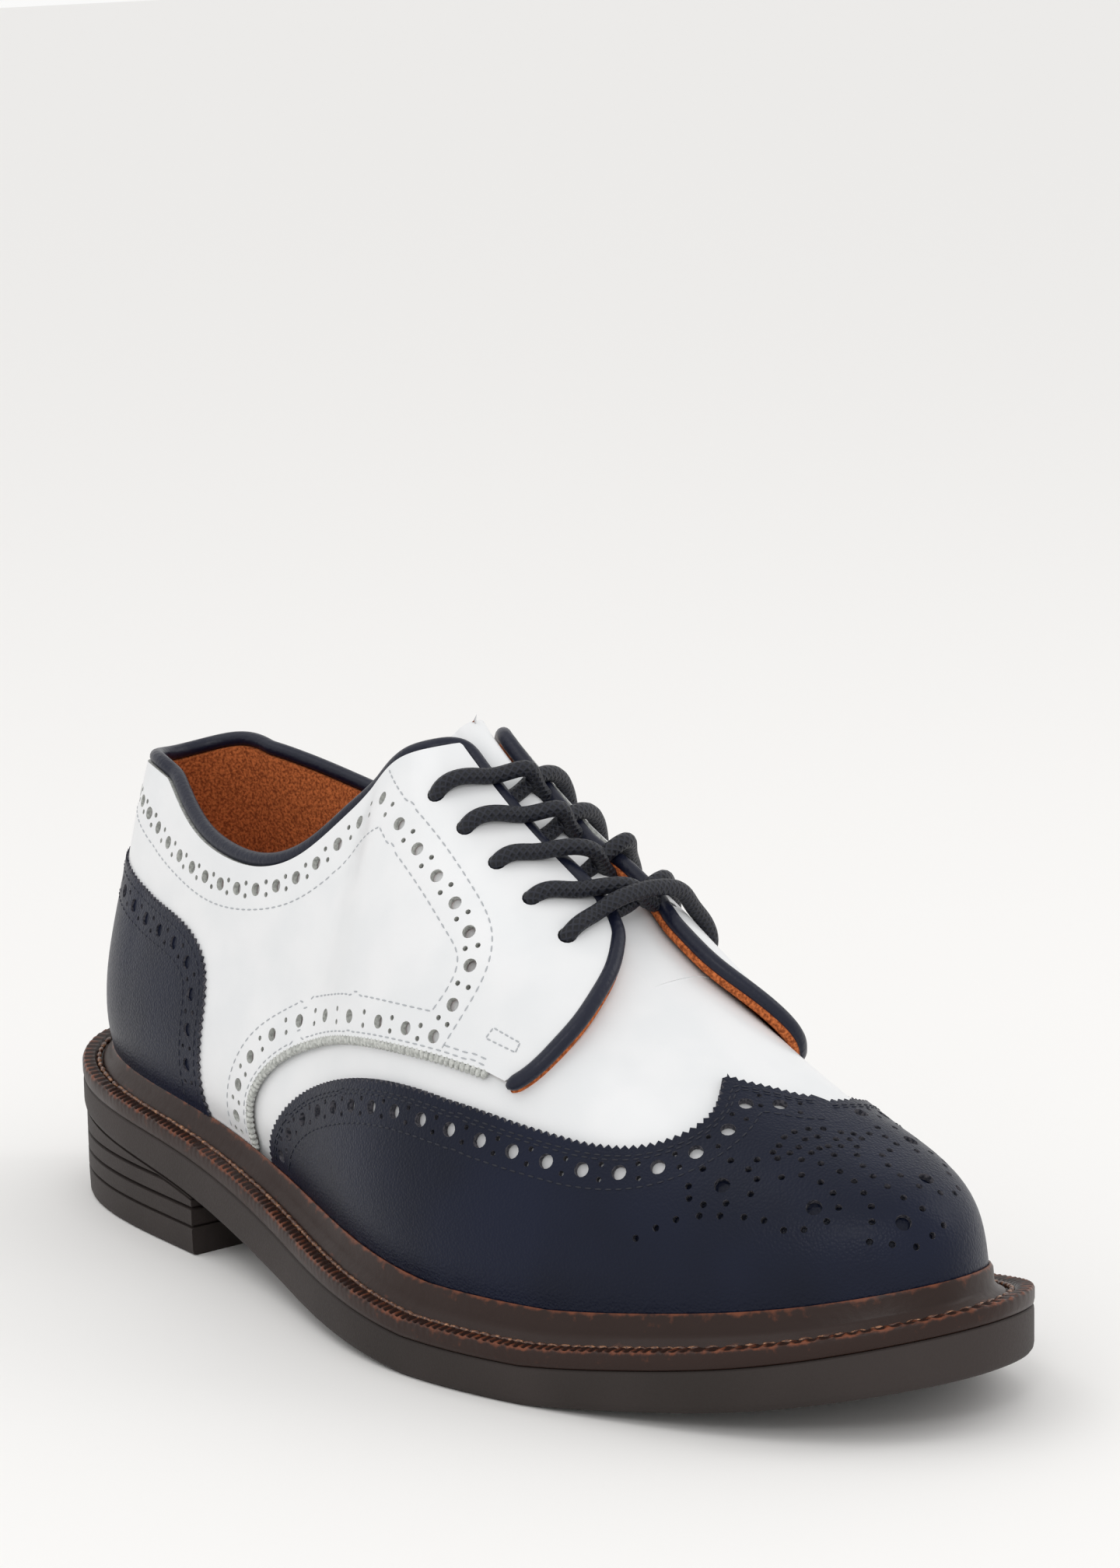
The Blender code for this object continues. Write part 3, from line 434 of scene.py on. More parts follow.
sole_under = column(SOLE_ROWS, 1, HEEL_HEIGHT)
sole_thick = column(SOLE_ROWS, 2, RUBBER)
ridge_height = column(RIDGE_ROWS, 1, INSTEP_HEIGHT)
ridge_shift = column(RIDGE_ROWS, 2, BALL_WIDTH)
side_full = column(RIDGE_ROWS, 3)
crown_full = column(RIDGE_ROWS, 4)
wall_swell = column(WALL_ROWS, 1, BALL_WIDTH)
wall_inset = column(WALL_ROWS, 2, WELT_WIDTH)
wall_lip = column(WALL_ROWS, 3, LIP_HEIGHT)
collar_sides = {-1: column(COLLAR_ROWS, 1, COLLAR_HEIGHT),
                1: column(COLLAR_ROWS, 2, COLLAR_HEIGHT)}
collar_half = column(COLLAR_ROWS, 3, BALL_WIDTH)


def underside(share):
    return np.maximum(sole_under(share), 0.0)


def sole_top(share):
    return underside(share) + sole_thick(share)


def closed_outline(count=480):
    corners = np.array(OUTLINE, float) * (LENGTH, BALL_WIDTH)
    size = len(corners)
    lap = np.concatenate([corners, corners, corners, corners[:1]])
    path = np.concatenate([[0], np.cumsum(np.hypot(*np.diff(lap, axis=0).T))])
    places = np.linspace(path[size], path[2 * size], count, endpoint=False)
    return np.stack([smooth_curve(path, lap[:, axis])(places) for axis in (0, 1)], 1)


def inset_outline(curve, distance):
    tangent = np.roll(curve, -1, 0) - np.roll(curve, 1, 0)
    tangent /= np.hypot(*tangent.T)[:, None]
    inward = np.stack([tangent[:, 1], -tangent[:, 0]], 1)
    inward *= np.sign(((curve.mean(0) - curve) * inward).sum())
    return curve + inward * np.reshape(distance, (-1, 1))


EDGE = closed_outline()
FEATHER = inset_outline(EDGE, wall_inset(EDGE[:, 0] / LENGTH))
MIDDLE = (EDGE[:, 1].min() + EDGE[:, 1].max()) / 2


def placed(spot, height):
    """A point of the model, from its place in the last's own plan and its height."""
    return spot[1] - MIDDLE, LENGTH / 2 - spot[0], float(height)


def reach(curve, origin, way):
    """How far a closed curve lies from a point inside it, in one direction."""
    offset = np.vstack([curve, curve[:1]]) - origin
    ahead = offset @ way
    beside = offset @ np.array([-way[1], way[0]])
    cross = (beside[:-1] * beside[1:] <= 0) & (ahead[:-1] > 0) & (beside[:-1] != beside[1:])
    k = np.nonzero(cross)[0]
    t = beside[k] / (beside[k] - beside[k + 1])
    return float(np.max(ahead[k] + t * (ahead[k + 1] - ahead[k])))


def ease(value):
    value = np.clip(value, 0.0, 1.0)
    return value * value * (3 - 2 * value)


print(f"Outline {len(EDGE)} points, middle at {MIDDLE * 1000:.1f} mm")

# %% [markdown]
# A lap position g says where a section stands: 0 at the heel seam, 1 at the tip of the toe and
# back to 2 at the heel, the outer side first. A fraction says how far up the wall a point is.
# All sections are worked out once, on a fine grid, and every panel, hole and stitch then reads
# its place from that grid.

# %% Sections round the last


class Section:
    """One section of the last: straight across the shoe, or fanned round the heel or toe."""

    def __init__(self, lap):
        lap = lap % 2.0
        self.side = -1 if lap <= 1 else 1
        share = lap if lap <= 1 else 2 - lap
        self.centre = min(max(share, HEEL_CENTRE), TOE_CENTRE)
        if share < HEEL_CENTRE:
            angle = math.pi / 2 * share / HEEL_CENTRE
            self.way = np.array([-math.cos(angle), self.side * math.sin(angle)])
        elif share > TOE_CENTRE:
            angle = math.pi / 2 * (1 - share) / (1 - TOE_CENTRE)
            self.way = np.array([math.cos(angle), self.side * math.sin(angle)])
        else:
            self.way = np.array([0.0, self.side])
        self.origin = np.array([self.centre * LENGTH, float(ridge_shift(self.centre))])
        self.half = reach(FEATHER, self.origin, self.way)
        self.edge = reach(EDGE, self.origin, self.way)
        foot_share = (self.origin[0] + self.way[0] * self.half) / LENGTH
        self.base = float(sole_top(foot_share)) + CLEARANCE
        self.foot = float(sole_top(foot_share) + wall_lip(foot_share)) + WELT_THICKNESS
        self.swell = float(wall_swell(foot_share))
        self.backward = self.way[0] < 0
        height_at = collar_sides[self.side]
        if self.backward:
            lean = self.way[0] ** 2
            side_half = float(collar_half(HEEL_CENTRE))
            self.collar_half = HEEL_HALF * BALL_WIDTH * lean + side_half * (1 - lean)
            share_up = (self.origin[0] + self.way[0] * self.collar_half) / LENGTH
        else:
            self.collar_half = float(collar_half(self.centre))
            share_up = self.centre
        self.collar = float(height_at(share_up))
        self.toe = max(self.way[0], 0.0)
        self.vamp = float(ease((self.centre - 0.40) / 0.09))
        self.top = self.find_top(height_at)

    def profile(self, turn):
        """Distance from the middle and height, for turns of 0 at the foot to 1 at the ridge."""
        angle = np.asarray(turn, float) * math.pi / 2
        toe = self.toe ** 2
        side_power = side_full(self.centre) * (1 - toe) + TOE_SIDE * toe
        crown_power = crown_full(self.centre) * (1 - toe) + TOE_CROWN * toe
        rise = ridge_height(self.centre) - self.foot
        vamp_half = self.half * np.cos(angle) ** (2 / side_power)
        vamp_height = self.foot + rise * np.sin(angle) ** (2 / crown_power)
        wall_top = self.collar + WALL_RISE * COLLAR_HEIGHT
        wall_height = self.foot + (wall_top - self.foot) * np.sin(angle)
        height = vamp_height if self.vamp > 0 else wall_height
        climb = np.clip((height - self.foot) / (self.collar - self.foot), 0, 1.2)
        wall_half = self.half - (self.half - self.collar_half) * climb ** WALL_LEAN
        half = wall_half * (1 - self.vamp) + vamp_half * self.vamp
        part = np.clip((height - self.foot) / min(SWELL_HEIGHT, rise), 0, 1)
        half = half + self.swell * SWELL_GAIN * part * (1 - part) ** 2
        if self.toe > 0:
            slope = self.toe * half * (1 - np.clip(half / self.half, 0, 1))
            height = height - TOE_DROP * slope
        return half, height

    def turn_at_half(self, half):
        turns = np.linspace(0, 1, 241)
        return float(np.interp(-half, -self.profile(turns)[0], turns))

    def find_top(self, height_at):
        if self.centre > THROAT_END:
            return 1.0
        turns = np.linspace(0, 1, 241)
        half, height = self.profile(turns)
        collar = facing = 1.0
        if self.backward:
            shares = (self.origin[0] + self.way[0] * half) / LENGTH
            gap = height - height_at(shares)
            k = int(np.nonzero(gap >= 0)[0][0])
            collar = float(np.interp(0, gap[k - 1:k + 1], turns[k - 1:k + 1]))
        elif self.centre < FACING_TOP:
            collar = float(np.interp(self.collar, height, turns))
        if self.vamp > 0.1:
            gap = FACING_GAP
            if self.centre > THROAT_ROUND:
                end = (self.centre - THROAT_ROUND) / (THROAT_END - THROAT_ROUND)
                gap *= math.sqrt(max(1 - end ** 2, 0))
            facing = self.turn_at_half(gap)
        return min(collar, facing)


# %% The grid of the whole wall
LAPS = 1440
UPS = 121
BELOW_DEPTH = 0.012
lap_grid = np.arange(LAPS) * 2.0 / LAPS
sections = [Section(lap) for lap in lap_grid]
turn_grid = np.linspace(0, 1, UPS)
points = np.zeros((LAPS, UPS, 3))
for index, here in enumerate(sections):
    half, height = here.profile(turn_grid * here.top)
    along_way = here.origin + here.way * half[:, None]
    points[index, :, 0] = along_way[:, 1] - MIDDLE
    points[index, :, 1] = LENGTH / 2 - along_way[:, 0]
    points[index, :, 2] = height
feet = np.array([here.foot - here.base for here in sections])
arcs = np.concatenate([np.zeros((LAPS, 1)),
                       np.cumsum(np.linalg.norm(np.diff(points, axis=1), axis=2), axis=1)], 1)


def grid_read(grid, lap, up):
    """Reads a grid between its samples. It closes on itself along the lap."""
    lap = (np.asarray(lap, float) % 2.0) * LAPS / 2.0
    up = np.clip(np.asarray(up, float), 0, 1) * (UPS - 1)
    one = np.floor(lap).astype(int) % LAPS
    two = (one + 1) % LAPS
    low = np.clip(np.floor(up).astype(int), 0, UPS - 2)
    s, t = lap - np.floor(lap), up - low
    if grid.ndim == 3:
        s, t = s[..., None], t[..., None]
    first = grid[one, low] * (1 - t) + grid[one, low + 1] * t
    second = grid[two, low] * (1 - t) + grid[two, low + 1] * t
    return first * (1 - s) + second * s


def over_ridge(lap, up):
    """A fraction above 1 comes down the other side."""
    lap, up = np.broadcast_arrays(np.asarray(lap, float), np.asarray(up, float))
    past = up > 1
    return np.where(past, 2 - lap, lap), np.where(past, 2 - up, up)


def wall(lap, up):
    """Points on the outside of the shoe."""
    lap, up = over_ridge(lap, up)
    place = grid_read(points, lap, up)
    drop = np.interp(lap % 2.0, lap_grid, feet, period=2.0) * np.minimum(up, 0)
    place[..., 2] += drop
    return place


def share_of(lap):
    """The share of the length at lap positions of either side."""
    lap = np.asarray(lap, float) % 2.0
    return np.where(lap > 1, 2 - lap, lap)


def slopes(lap, up):
    """How a point moves along the lap and up the wall."""
    step = 0.0025
    high = np.minimum(up + step, np.where(share_of(lap) < THROAT_END, 1.0, 2.0))
    low = np.clip(np.minimum(up, high) - step, 0, None)
    near = 0.0008
    sideways = (wall(lap + near, up) - wall(lap - near, up)) / (2 * near)
    upwards = (wall(lap, high) - wall(lap, low)) / np.maximum(high - low, 1e-9)[..., None]
    return sideways, upwards


def unit(vectors):
    return vectors / np.maximum(np.linalg.norm(vectors, axis=-1, keepdims=True), 1e-12)


def outward(lap, up):
    """The direction straight out of the wall."""
    lap, up = np.broadcast_arrays(np.asarray(lap, float), np.asarray(up, float))
    sideways, upwards = slopes(lap, np.clip(up, 0.003, None))
    return unit(np.cross(sideways, upwards))


def rise_at(lap, up):
    """Metres up the wall, below zero under it."""
    return np.where(up < 0, up * BELOW_DEPTH, grid_read(arcs, lap, np.clip(up, 0, 1)))


def fraction_at(laps, rise):
    """The fraction that lies so many metres up the wall."""
    laps, rise = np.atleast_1d(laps), np.atleast_1d(rise)
    climb = grid_read(arcs, laps[:, None] + 0 * turn_grid[None], 0 * laps[:, None] + turn_grid)
    made = np.array([np.interp(value, row, turn_grid) for value, row in zip(rise, climb)])
    return np.where(rise < 0, rise / BELOW_DEPTH, made)


def solve(first, second, move):
    """How far to go along two directions to make a move."""
    a, b, c = (first * first).sum(1), (first * second).sum(1), (second * second).sum(1)
    p, q = (first * move).sum(1), (second * move).sum(1)
    det = np.maximum(a * c - b * b, 1e-12)
    return (p * c - q * b) / det, (q * a - p * b) / det


def slide(spots, move):
    """Moves spots (lap, up) along the surface by vectors in metres."""
    lap, up = spots[:, 0], spots[:, 1]
    near, tall = 0.0008, 0.0004
    rise = rise_at(lap, up)
    high = np.minimum(rise + tall, grid_read(arcs, lap, np.ones_like(lap)))
    low = high - 2 * tall
    sideways = (wall(lap + near, fraction_at(lap + near, rise))
                - wall(lap - near, fraction_at(lap - near, rise))) / (2 * near)
    upwards = (wall(lap, fraction_at(lap, high)) - wall(lap, fraction_at(lap, low))) / (2 * tall)
    along, climb = solve(sideways, upwards, move)
    open_wall = np.stack([lap + along, fraction_at(lap + along, rise + climb)], 1)
    along, climb = solve(*slopes(lap, up), move)
    closed_toe = np.stack([lap + along, up + climb], 1)
    return np.where((share_of(lap) < THROAT_END + 0.01)[:, None], open_wall, closed_toe)


print(f"Last: {LAPS} sections, collar back at {wall(0.0, 1.0)[2] * 1000:.0f} mm")

# %% [markdown]
# Small helpers for meshes. Leather panels, welt and piping follow the last in too many ways for
# edit-mode tools, so they are laid out point by point from the surface above; plain pieces such
# as the stitch start from Blender's own primitives.

# %% Mesh helpers


def make_object(name, vertices, faces, finish, smooth=None, inside=()):
    mesh = bpy.data.meshes.new(name)
    mesh.from_pydata([tuple(v) for v in vertices], [], [tuple(f) for f in faces])
    mesh.update()
    made = bpy.data.objects.new(name, mesh)
    bpy.context.scene.collection.objects.link(made)
    for each in (finish, *inside):
        mesh.materials.append(each.material)
    if smooth is not None:
        mesh.shade_smooth()
        if smooth < 180:
            mesh.set_sharp_from_angle(angle=math.radians(smooth))
    return made


def grid_faces(rows, columns, closed_rows=False, closed_columns=False):
    faces = []
    for i in range(rows - (0 if closed_rows else 1)):
        for j in range(columns - (0 if closed_columns else 1)):
            a, b = i % rows, (i + 1) % rows
            c, d = j % columns, (j + 1) % columns
            faces.append((a * columns + c, b * columns + c, b * columns + d, a * columns + d))
    return faces


def finish_piece(made, replaced=()):
    """Declares a piece to the frame."""
    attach(made, "root")
    if replaced:
        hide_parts(*replaced)


def solidify(made, thickness, inner=0, rim=0):
    """Gives a sheet a wall inwards, with other materials inside and on its cut edge."""
    wall_mod = made.modifiers.new("wall", "SOLIDIFY")
    wall_mod.thickness = thickness
    wall_mod.offset = -1.0
    wall_mod.use_even_offset = False
    wall_mod.material_offset = inner
    wall_mod.material_offset_rim = rim
    bpy.context.view_layer.objects.active = made
    made.select_set(True)
    bpy.ops.object.modifier_apply(modifier="wall")
    made.select_set(False)
    made.data.shade_smooth()
    made.data.set_sharp_from_angle(angle=math.radians(38))


def weld(made, distance=0.00002):
    build = bmesh.new()
    build.from_mesh(made.data)
    bmesh.ops.remove_doubles(build, verts=build.verts, dist=distance)
    bmesh.ops.dissolve_degenerate(build, edges=build.edges, dist=distance / 2)
    build.to_mesh(made.data)
    build.free()


def face_outwards(made):
    build = bmesh.new()
    build.from_mesh(made.data)
    bmesh.ops.recalc_face_normals(build, faces=build.faces)
    build.to_mesh(made.data)
    build.free()


# %% [markdown]
# The sole. Its outline is the real one, and its side has the step between rubber and leather.
# The heel carries grooves parallel to the floor, a wedge line where the outsole's underside
# comes in, and a sharp straight breast.

# %% Rubber sole and heel


def ways_at(first, second):
    """At laps of both sides, a section's origin, its direction and the outline's reach."""
    rows = [Section(lap) for lap in np.concatenate([first, second])]
    return np.array([(*here.origin, *here.way, here.edge) for here in rows])


def ring_points(ways, inset, height):
    spots = ways[:, :2] + ways[:, 2:4] * (ways[:, 4:5] - np.reshape(inset, (-1, 1)))
    level = height(spots[:, 0] / LENGTH) if callable(height) else np.full(len(spots), height)
    return np.stack([spots[:, 1] - MIDDLE, LENGTH / 2 - spots[:, 0], level], 1)


def stacked(name, rings, ladder):
    """A rubber solid from closed rings, its two ends filled straight across."""
    count = len(rings[0])
    faces = grid_faces(len(rings), count, closed_columns=True)
    for start, flip in ((0, False), ((len(rings) - 1) * count, True)):
        one, two = 0, count if ladder == "round" else count - 1
        while one + 1 < two:
            face = [start + one, start + one + 1, start + (two - 1) % count,
                    start + two % count]
            face = list(dict.fromkeys(face))
            faces.append(face[::-1] if flip else face)
            one, two = one + 1, two - 1
    made = make_object(name, np.concatenate(rings), faces, rubber)
    face_outwards(made)
    made.data.shade_smooth()
    made.data.set_sharp_from_angle(angle=math.radians(30))
    return made


rim_ways = ways_at(np.linspace(0, 1, 150, endpoint=False),
                   np.linspace(1, 2, 150, endpoint=False))
sole_rings = [ring_points(rim_ways, inset, height) for inset, height in (
    (0.0016, underside),
    (0.0008, lambda s: underside(s) + 0.0002),
    (0.0002, lambda s: underside(s) + 0.0009),
    (0.0000, lambda s: underside(s) + 0.0020),
    (0.0000, lambda s: sole_top(s) - 0.0012),
    (0.0001, lambda s: sole_top(s) - 0.0004),
    (0.0005, lambda s: sole_top(s)))]
outsole = stacked("rubber_outsole", sole_rings, "round")
finish_piece(outsole, ["outsole"])

heel_ways = ways_at(np.linspace(0, BREAST, 60),
                    np.linspace(2 - BREAST, 2, 60, endpoint=False))


def heel_top(share):
    return underside(share) - 0.0001


def level_under(height, rows_left):
    return lambda share: np.minimum(height, heel_top(share) - 0.00012 * rows_left)


def block_rings():
    rows = [(0.0012, TOP_LIFT + 0.0002), (0.0006, TOP_LIFT + 0.0008)]
    for count in (1, 2):
        middle = TOP_LIFT + 0.0004 + count * GROOVE_PITCH
        rows += [(0.0006, middle - 0.0005), (0.0009, middle - 0.00035), (0.0017, middle - 0.0002),
                 (0.0017, middle + 0.0002), (0.0009, middle + 0.00035), (0.0006, middle + 0.0005)]
    rows += [(0.0006, 0.5), (0.0012, 0.6)]
    rings = []
    for index, (inset, height) in enumerate(rows):
        ring = ring_points(heel_ways, inset, level_under(height, len(rows) - 1 - index))
        ring[:, 1] = np.maximum(ring[:, 1], LENGTH * (0.5 - BREAST) + max(inset - 0.0006, 0))
        rings.append(ring)
    return rings


heel_block = stacked("heel_lifts", block_rings(), "straight")
finish_piece(heel_block, ["heel_block"])
lift_rings = [ring_points(heel_ways, inset, height) for inset, height in (
    (0.0020, 0.0), (0.0011, 0.0003), (0.0008, 0.0011), (0.0006, TOP_LIFT - 0.0006),
    (0.0008, TOP_LIFT - 0.0002), (0.0013, TOP_LIFT))]
top_lift = stacked("heel_top_lift", lift_rings, "straight")
finish_piece(top_lift, ["top_lift"])
print("Sole height at the heel:", round(float(sole_top(0.0)) * 1000, 1), "mm")

# %% [markdown]
# The storm welt. A strip of leather is sewn round the whole shoe. Its outer part lies flat on
# the rubber and is wheeled with short slanting ridges, next comes the sewn channel, and its
# inner lip stands up against the upper to keep rain out.

# %% Storm welt
WELT_LAPS = 1500
RIDGE_COUNT = 300
welt_rows = []
welt_highlight_weights = []
for k in range(WELT_LAPS):
    lap = 2.0 * k / WELT_LAPS
    here = Section(lap)
    wave = 0.5 + 0.5 * math.cos(2 * math.pi * RIDGE_COUNT * k / WELT_LAPS)
    inner = here.half + 0.0001
    width = here.edge - inner
    lip_top = here.foot - 0.0001
    rim = WELT_THICKNESS
    dent = 0.00055 * (1 - wave)
    # distance in from the edge or out from the wall, height above the rubber, weight of the
    # painted highlight
    profile = [(here.edge - 0.0006, 0.0, 0), (here.edge - 0.0001, 0.0003, 0.2),
               (here.edge + 0.0001, 0.0012, 0.3), (here.edge + 0.0001, rim - 0.0012, 0.4),
               (here.edge - 0.0002 - dent * 0.4, rim - 0.0005, 0.9),
               (here.edge - 0.0007, rim - 0.0001 - dent, 1.0 * wave),
               (here.edge - 0.26 * width, rim - dent, 0.8 * wave),
               (here.edge - 0.36 * width, rim - 0.0001 - dent * 0.5, 0.5 * wave),
               (here.edge - 0.42 * width, rim - 0.0010, 0.0),
               (here.edge - 0.58 * width, rim - 0.0012, 0.0),
               (here.edge - 0.66 * width, rim - 0.0003, 0.45),
               (inner + 0.0022, rim + 0.0004, 0.1), (inner + 0.0012, rim + 0.0016, 0.1),
               (inner + 0.0009, None, 0.45), (inner + 0.0004, None, 1.0), (inner, None, 0.8),
               (inner, 0.0, 0)]
    row = []
    for index, (half, height, _) in enumerate(profile):
        spot = here.origin + here.way * half
        level = lip_top - (0.0008 if index == 13 else 0.0001 if index == 15 else 0.0)
        if height is not None:
            level = float(sole_top(spot[0] / LENGTH)) + 0.0001 + height
        row.append(placed(spot, level))
    welt_rows.append(row)
    welt_highlight_weights.append([value for _, _, value in profile])
size = len(welt_rows[0])
welt = make_object("storm_welt", np.array(welt_rows).reshape(-1, 3),
                   [f[::-1] for f in grid_faces(WELT_LAPS, size, True, True)], welted, 50)
# The painted highlight's weight at each point, read by the welt's colour.
highlight_layer = welt.data.attributes.new("high", "FLOAT", "POINT")
highlight_layer.data.foreach_set("value", np.array(welt_highlight_weights, float).ravel())
finish_piece(welt, ["welt"])
print("Welt faces:", len(welt.data.polygons))

# %% [markdown]
# The upper's own wall: the white vamp and quarter leather outside and the rust-coloured suede
# lining inside. It follows the last 1.8 mm under the overlays, open at the collar and throat.

# %% Hollow upper
UPPER_ROWS = 420
UPPER_STEPS = np.concatenate([[-0.95, -0.3], np.linspace(0, 1, 46)])
laps_here = np.arange(UPPER_ROWS) * 2.0 / UPPER_ROWS
lap_field, up_field = np.meshgrid(laps_here, UPPER_STEPS, indexing="ij")
shell = wall(lap_field, up_field) - outward(lap_field, up_field) * (PANEL + CLEARANCE)
upper = make_object("upper_wall", shell.reshape(-1, 3),
                    grid_faces(UPPER_ROWS, len(UPPER_STEPS), closed_rows=True), white,
                    inside=[suede])
weld(upper)
solidify(upper, UPPER_WALL, inner=1, rim=1)
finish_piece(upper, ["upper", "backstay"])
print("Upper faces:", len(upper.data.polygons))

# %% [markdown]
# Panels are cut flat and then shaped on the last, so each one is drawn here as an outline of
# lap positions and fractions. The outline and every punched hole become edges of a flat
# triangulation, the triangles in the holes are dropped, and the rest is laid on the last and
# given the leather's thickness.

# %% Lines on the last


def lap_of(side, share):
    return share if side < 0 else 2 - share


def even(spots, pitch):
    """The same line with its points an even distance apart."""
    spots = np.asarray(spots, float)
    path = np.concatenate([[0], np.cumsum(np.linalg.norm(
        np.diff(wall(spots[:, 0], spots[:, 1]), axis=0), axis=1))])
    count = max(int(round(path[-1] / pitch)), 2)
    places = np.linspace(0, path[-1], count + 1)
    rise = rise_at(spots[:, 0], spots[:, 1])
    laps = np.interp(places, path, spots[:, 0])
    return np.stack([laps, fraction_at(laps, np.interp(places, path, rise))], 1)


def line(side, rows, pitch=0.0005, rises=False):
    """A smooth line through rows of share and fraction, or share and mm up the wall."""
    laps = np.array([lap_of(side, row[0]) for row in rows], float)
    second = np.array([row[1] for row in rows], float)
    if rises:
        second = second / 1000
        steps = np.hypot(np.diff(laps) * LENGTH, np.diff(second))
    else:
        steps = np.linalg.norm(np.diff(wall(laps, second), axis=0), axis=1)
    path = np.concatenate([[0], np.cumsum(np.maximum(steps, 0.0004))])
    places = np.linspace(0, path[-1], int(path[-1] / 0.0004) + 2)
    lap_line, second_line = smooth_curve(path, laps)(places), smooth_curve(path, second)(places)
    if rises:
        second_line = fraction_at(lap_line, second_line)
    return even(np.stack([lap_line, second_line], 1), pitch)


def directions(spots):
    """Place, tangent, inward direction and normal at each point of a line."""
    lap, up = spots[:, 0], spots[:, 1]
    place = wall(lap, up)
    tangent = np.gradient(place, axis=0)
    normal = outward(lap, np.clip(up, 0, None))
    tangent = unit(tangent - normal * (tangent * normal).sum(1)[:, None])
    return place, tangent, np.cross(normal, tangent), normal


def inset(spots, distance, pitch=0.0005):
    """A line running beside another at a distance, to its left seen from outside."""
    place, _, inward, _ = directions(spots)
    moved = slide(spots, inward * distance)
    moved[:, 1] = np.clip(moved[:, 1], -0.9, 1.9)
    where = wall(moved[:, 0], moved[:, 1])
    keep = np.array([np.min(np.linalg.norm(place - spot, axis=1)) > 0.93 * abs(distance)
                     for spot in where])
    return even(moved[keep], pitch)


def pinked(spots, pitch=0.0019, depth=0.0010):
    """A zigzag along a line, as pinking shears cut it."""
    spots = even(spots, pitch / 2)
    _, _, inward, _ = directions(spots)
    swing = np.where(np.arange(len(spots)) % 2 == 0, -0.5, 0.5) * depth
    return slide(spots, inward * swing[:, None])


def round_hole(spot, radius, sides):
    """A circle on the last."""
    spot = np.asarray(spot, float)
    angles = np.linspace(0, 2 * math.pi, sides, endpoint=False)
    both = np.repeat(spot[None], sides, 0)
    sideways, _ = slopes(both[:, 0], both[:, 1])
    normal = outward(both[:, 0], both[:, 1])
    sideways = unit(sideways - normal * (sideways * normal).sum(1)[:, None])
    upwards = np.cross(normal, sideways)
    ring = sideways * np.cos(angles)[:, None] + upwards * np.sin(angles)[:, None]
    return slide(both, ring * radius)


def small_pair(spot, inward, radius, spread):
    """Two small holes, one on each side of a row."""
    both = slide(np.repeat(spot[None], 2, 0), np.stack([inward, -inward]) * spread)
    return [round_hole(one, radius, 8) for one in both]


def brogue(spots, pitch, big, small, spread):
    """A row of large holes with a pair of small ones between each two."""
    spots = even(spots, pitch / 2)
    _, _, inward, _ = directions(spots)
    rings = []
    for index in range(1, len(spots) - 1):
        if index % 2 == 1:
            rings.append(round_hole(spots[index], big, 14))
        else:
            rings += small_pair(spots[index], inward[index], small, spread)
    return rings


def brogue_at(side, rows, big, small, spread):
    """Large holes at the rows of a table, and a pair of small ones between each two."""
    path = line(side, rows, rises=True)
    knots = np.array([(lap_of(side, row[0]), 0.0) for row in rows])
    knots[:, 1] = fraction_at(knots[:, 0], np.array([row[1] / 1000 for row in rows]))
    rings = [round_hole(spot, big, 14) for spot in knots if spot[1] > 0.02]
    where = wall(path[:, 0], path[:, 1])
    _, _, inward, _ = directions(path)
    marks = [int(np.argmin(np.linalg.norm(where - spot, axis=1)))
             for spot in wall(knots[:, 0], knots[:, 1])]
    for first, second in zip(marks[:-1], marks[1:]):
        middle = (first + second) // 2
        if path[middle, 1] > 0.02:
            rings += small_pair(path[middle], inward[middle], small, spread)
    return rings


# %% Charts and panels
origins = np.array([(*here.origin, *here.way) for here in sections])


def chart_wall(spots):
    """Unrolls the side of the shoe: along it, and up its arc."""
    return np.stack([spots[:, 0] * LENGTH, rise_at(spots[:, 0], spots[:, 1])], 1)


def chart_cap(spots):
    """Unrolls the toe from its ridge outwards."""
    lap, up = over_ridge(spots[:, 0], spots[:, 1])
    here = np.stack([np.interp(lap % 2.0, lap_grid, origins[:, k], period=2.0)
                     for k in range(4)], 1)
    arc = grid_read(arcs, lap, np.ones_like(lap)) - grid_read(arcs, lap, np.clip(up, 0, 1))
    arc = arc - np.minimum(up, 0) * BELOW_DEPTH
    return here[:, :2] + unit(here[:, 2:]) * arc[:, None]


def inside_polygon(places, polygon):
    x, y = places.T
    within = np.zeros(len(places), bool)
    ends = np.roll(polygon, -1, 0)
    for (x1, y1), (x2, y2) in zip(polygon, ends):
        if y1 == y2:
            continue
        cross = (y1 > y) != (y2 > y)
        within ^= cross & (x < (x2 - x1) * (y - y1) / (y2 - y1) + x1)
    return within


def flap_lift(lap, up):
    """How far the facing's free front stands off the vamp."""
    front = ease((share_of(lap) - FLAP_START) / FLAP_RUN)
    return FLAP_LIFT * front * ease((up - 0.40) / 0.40)


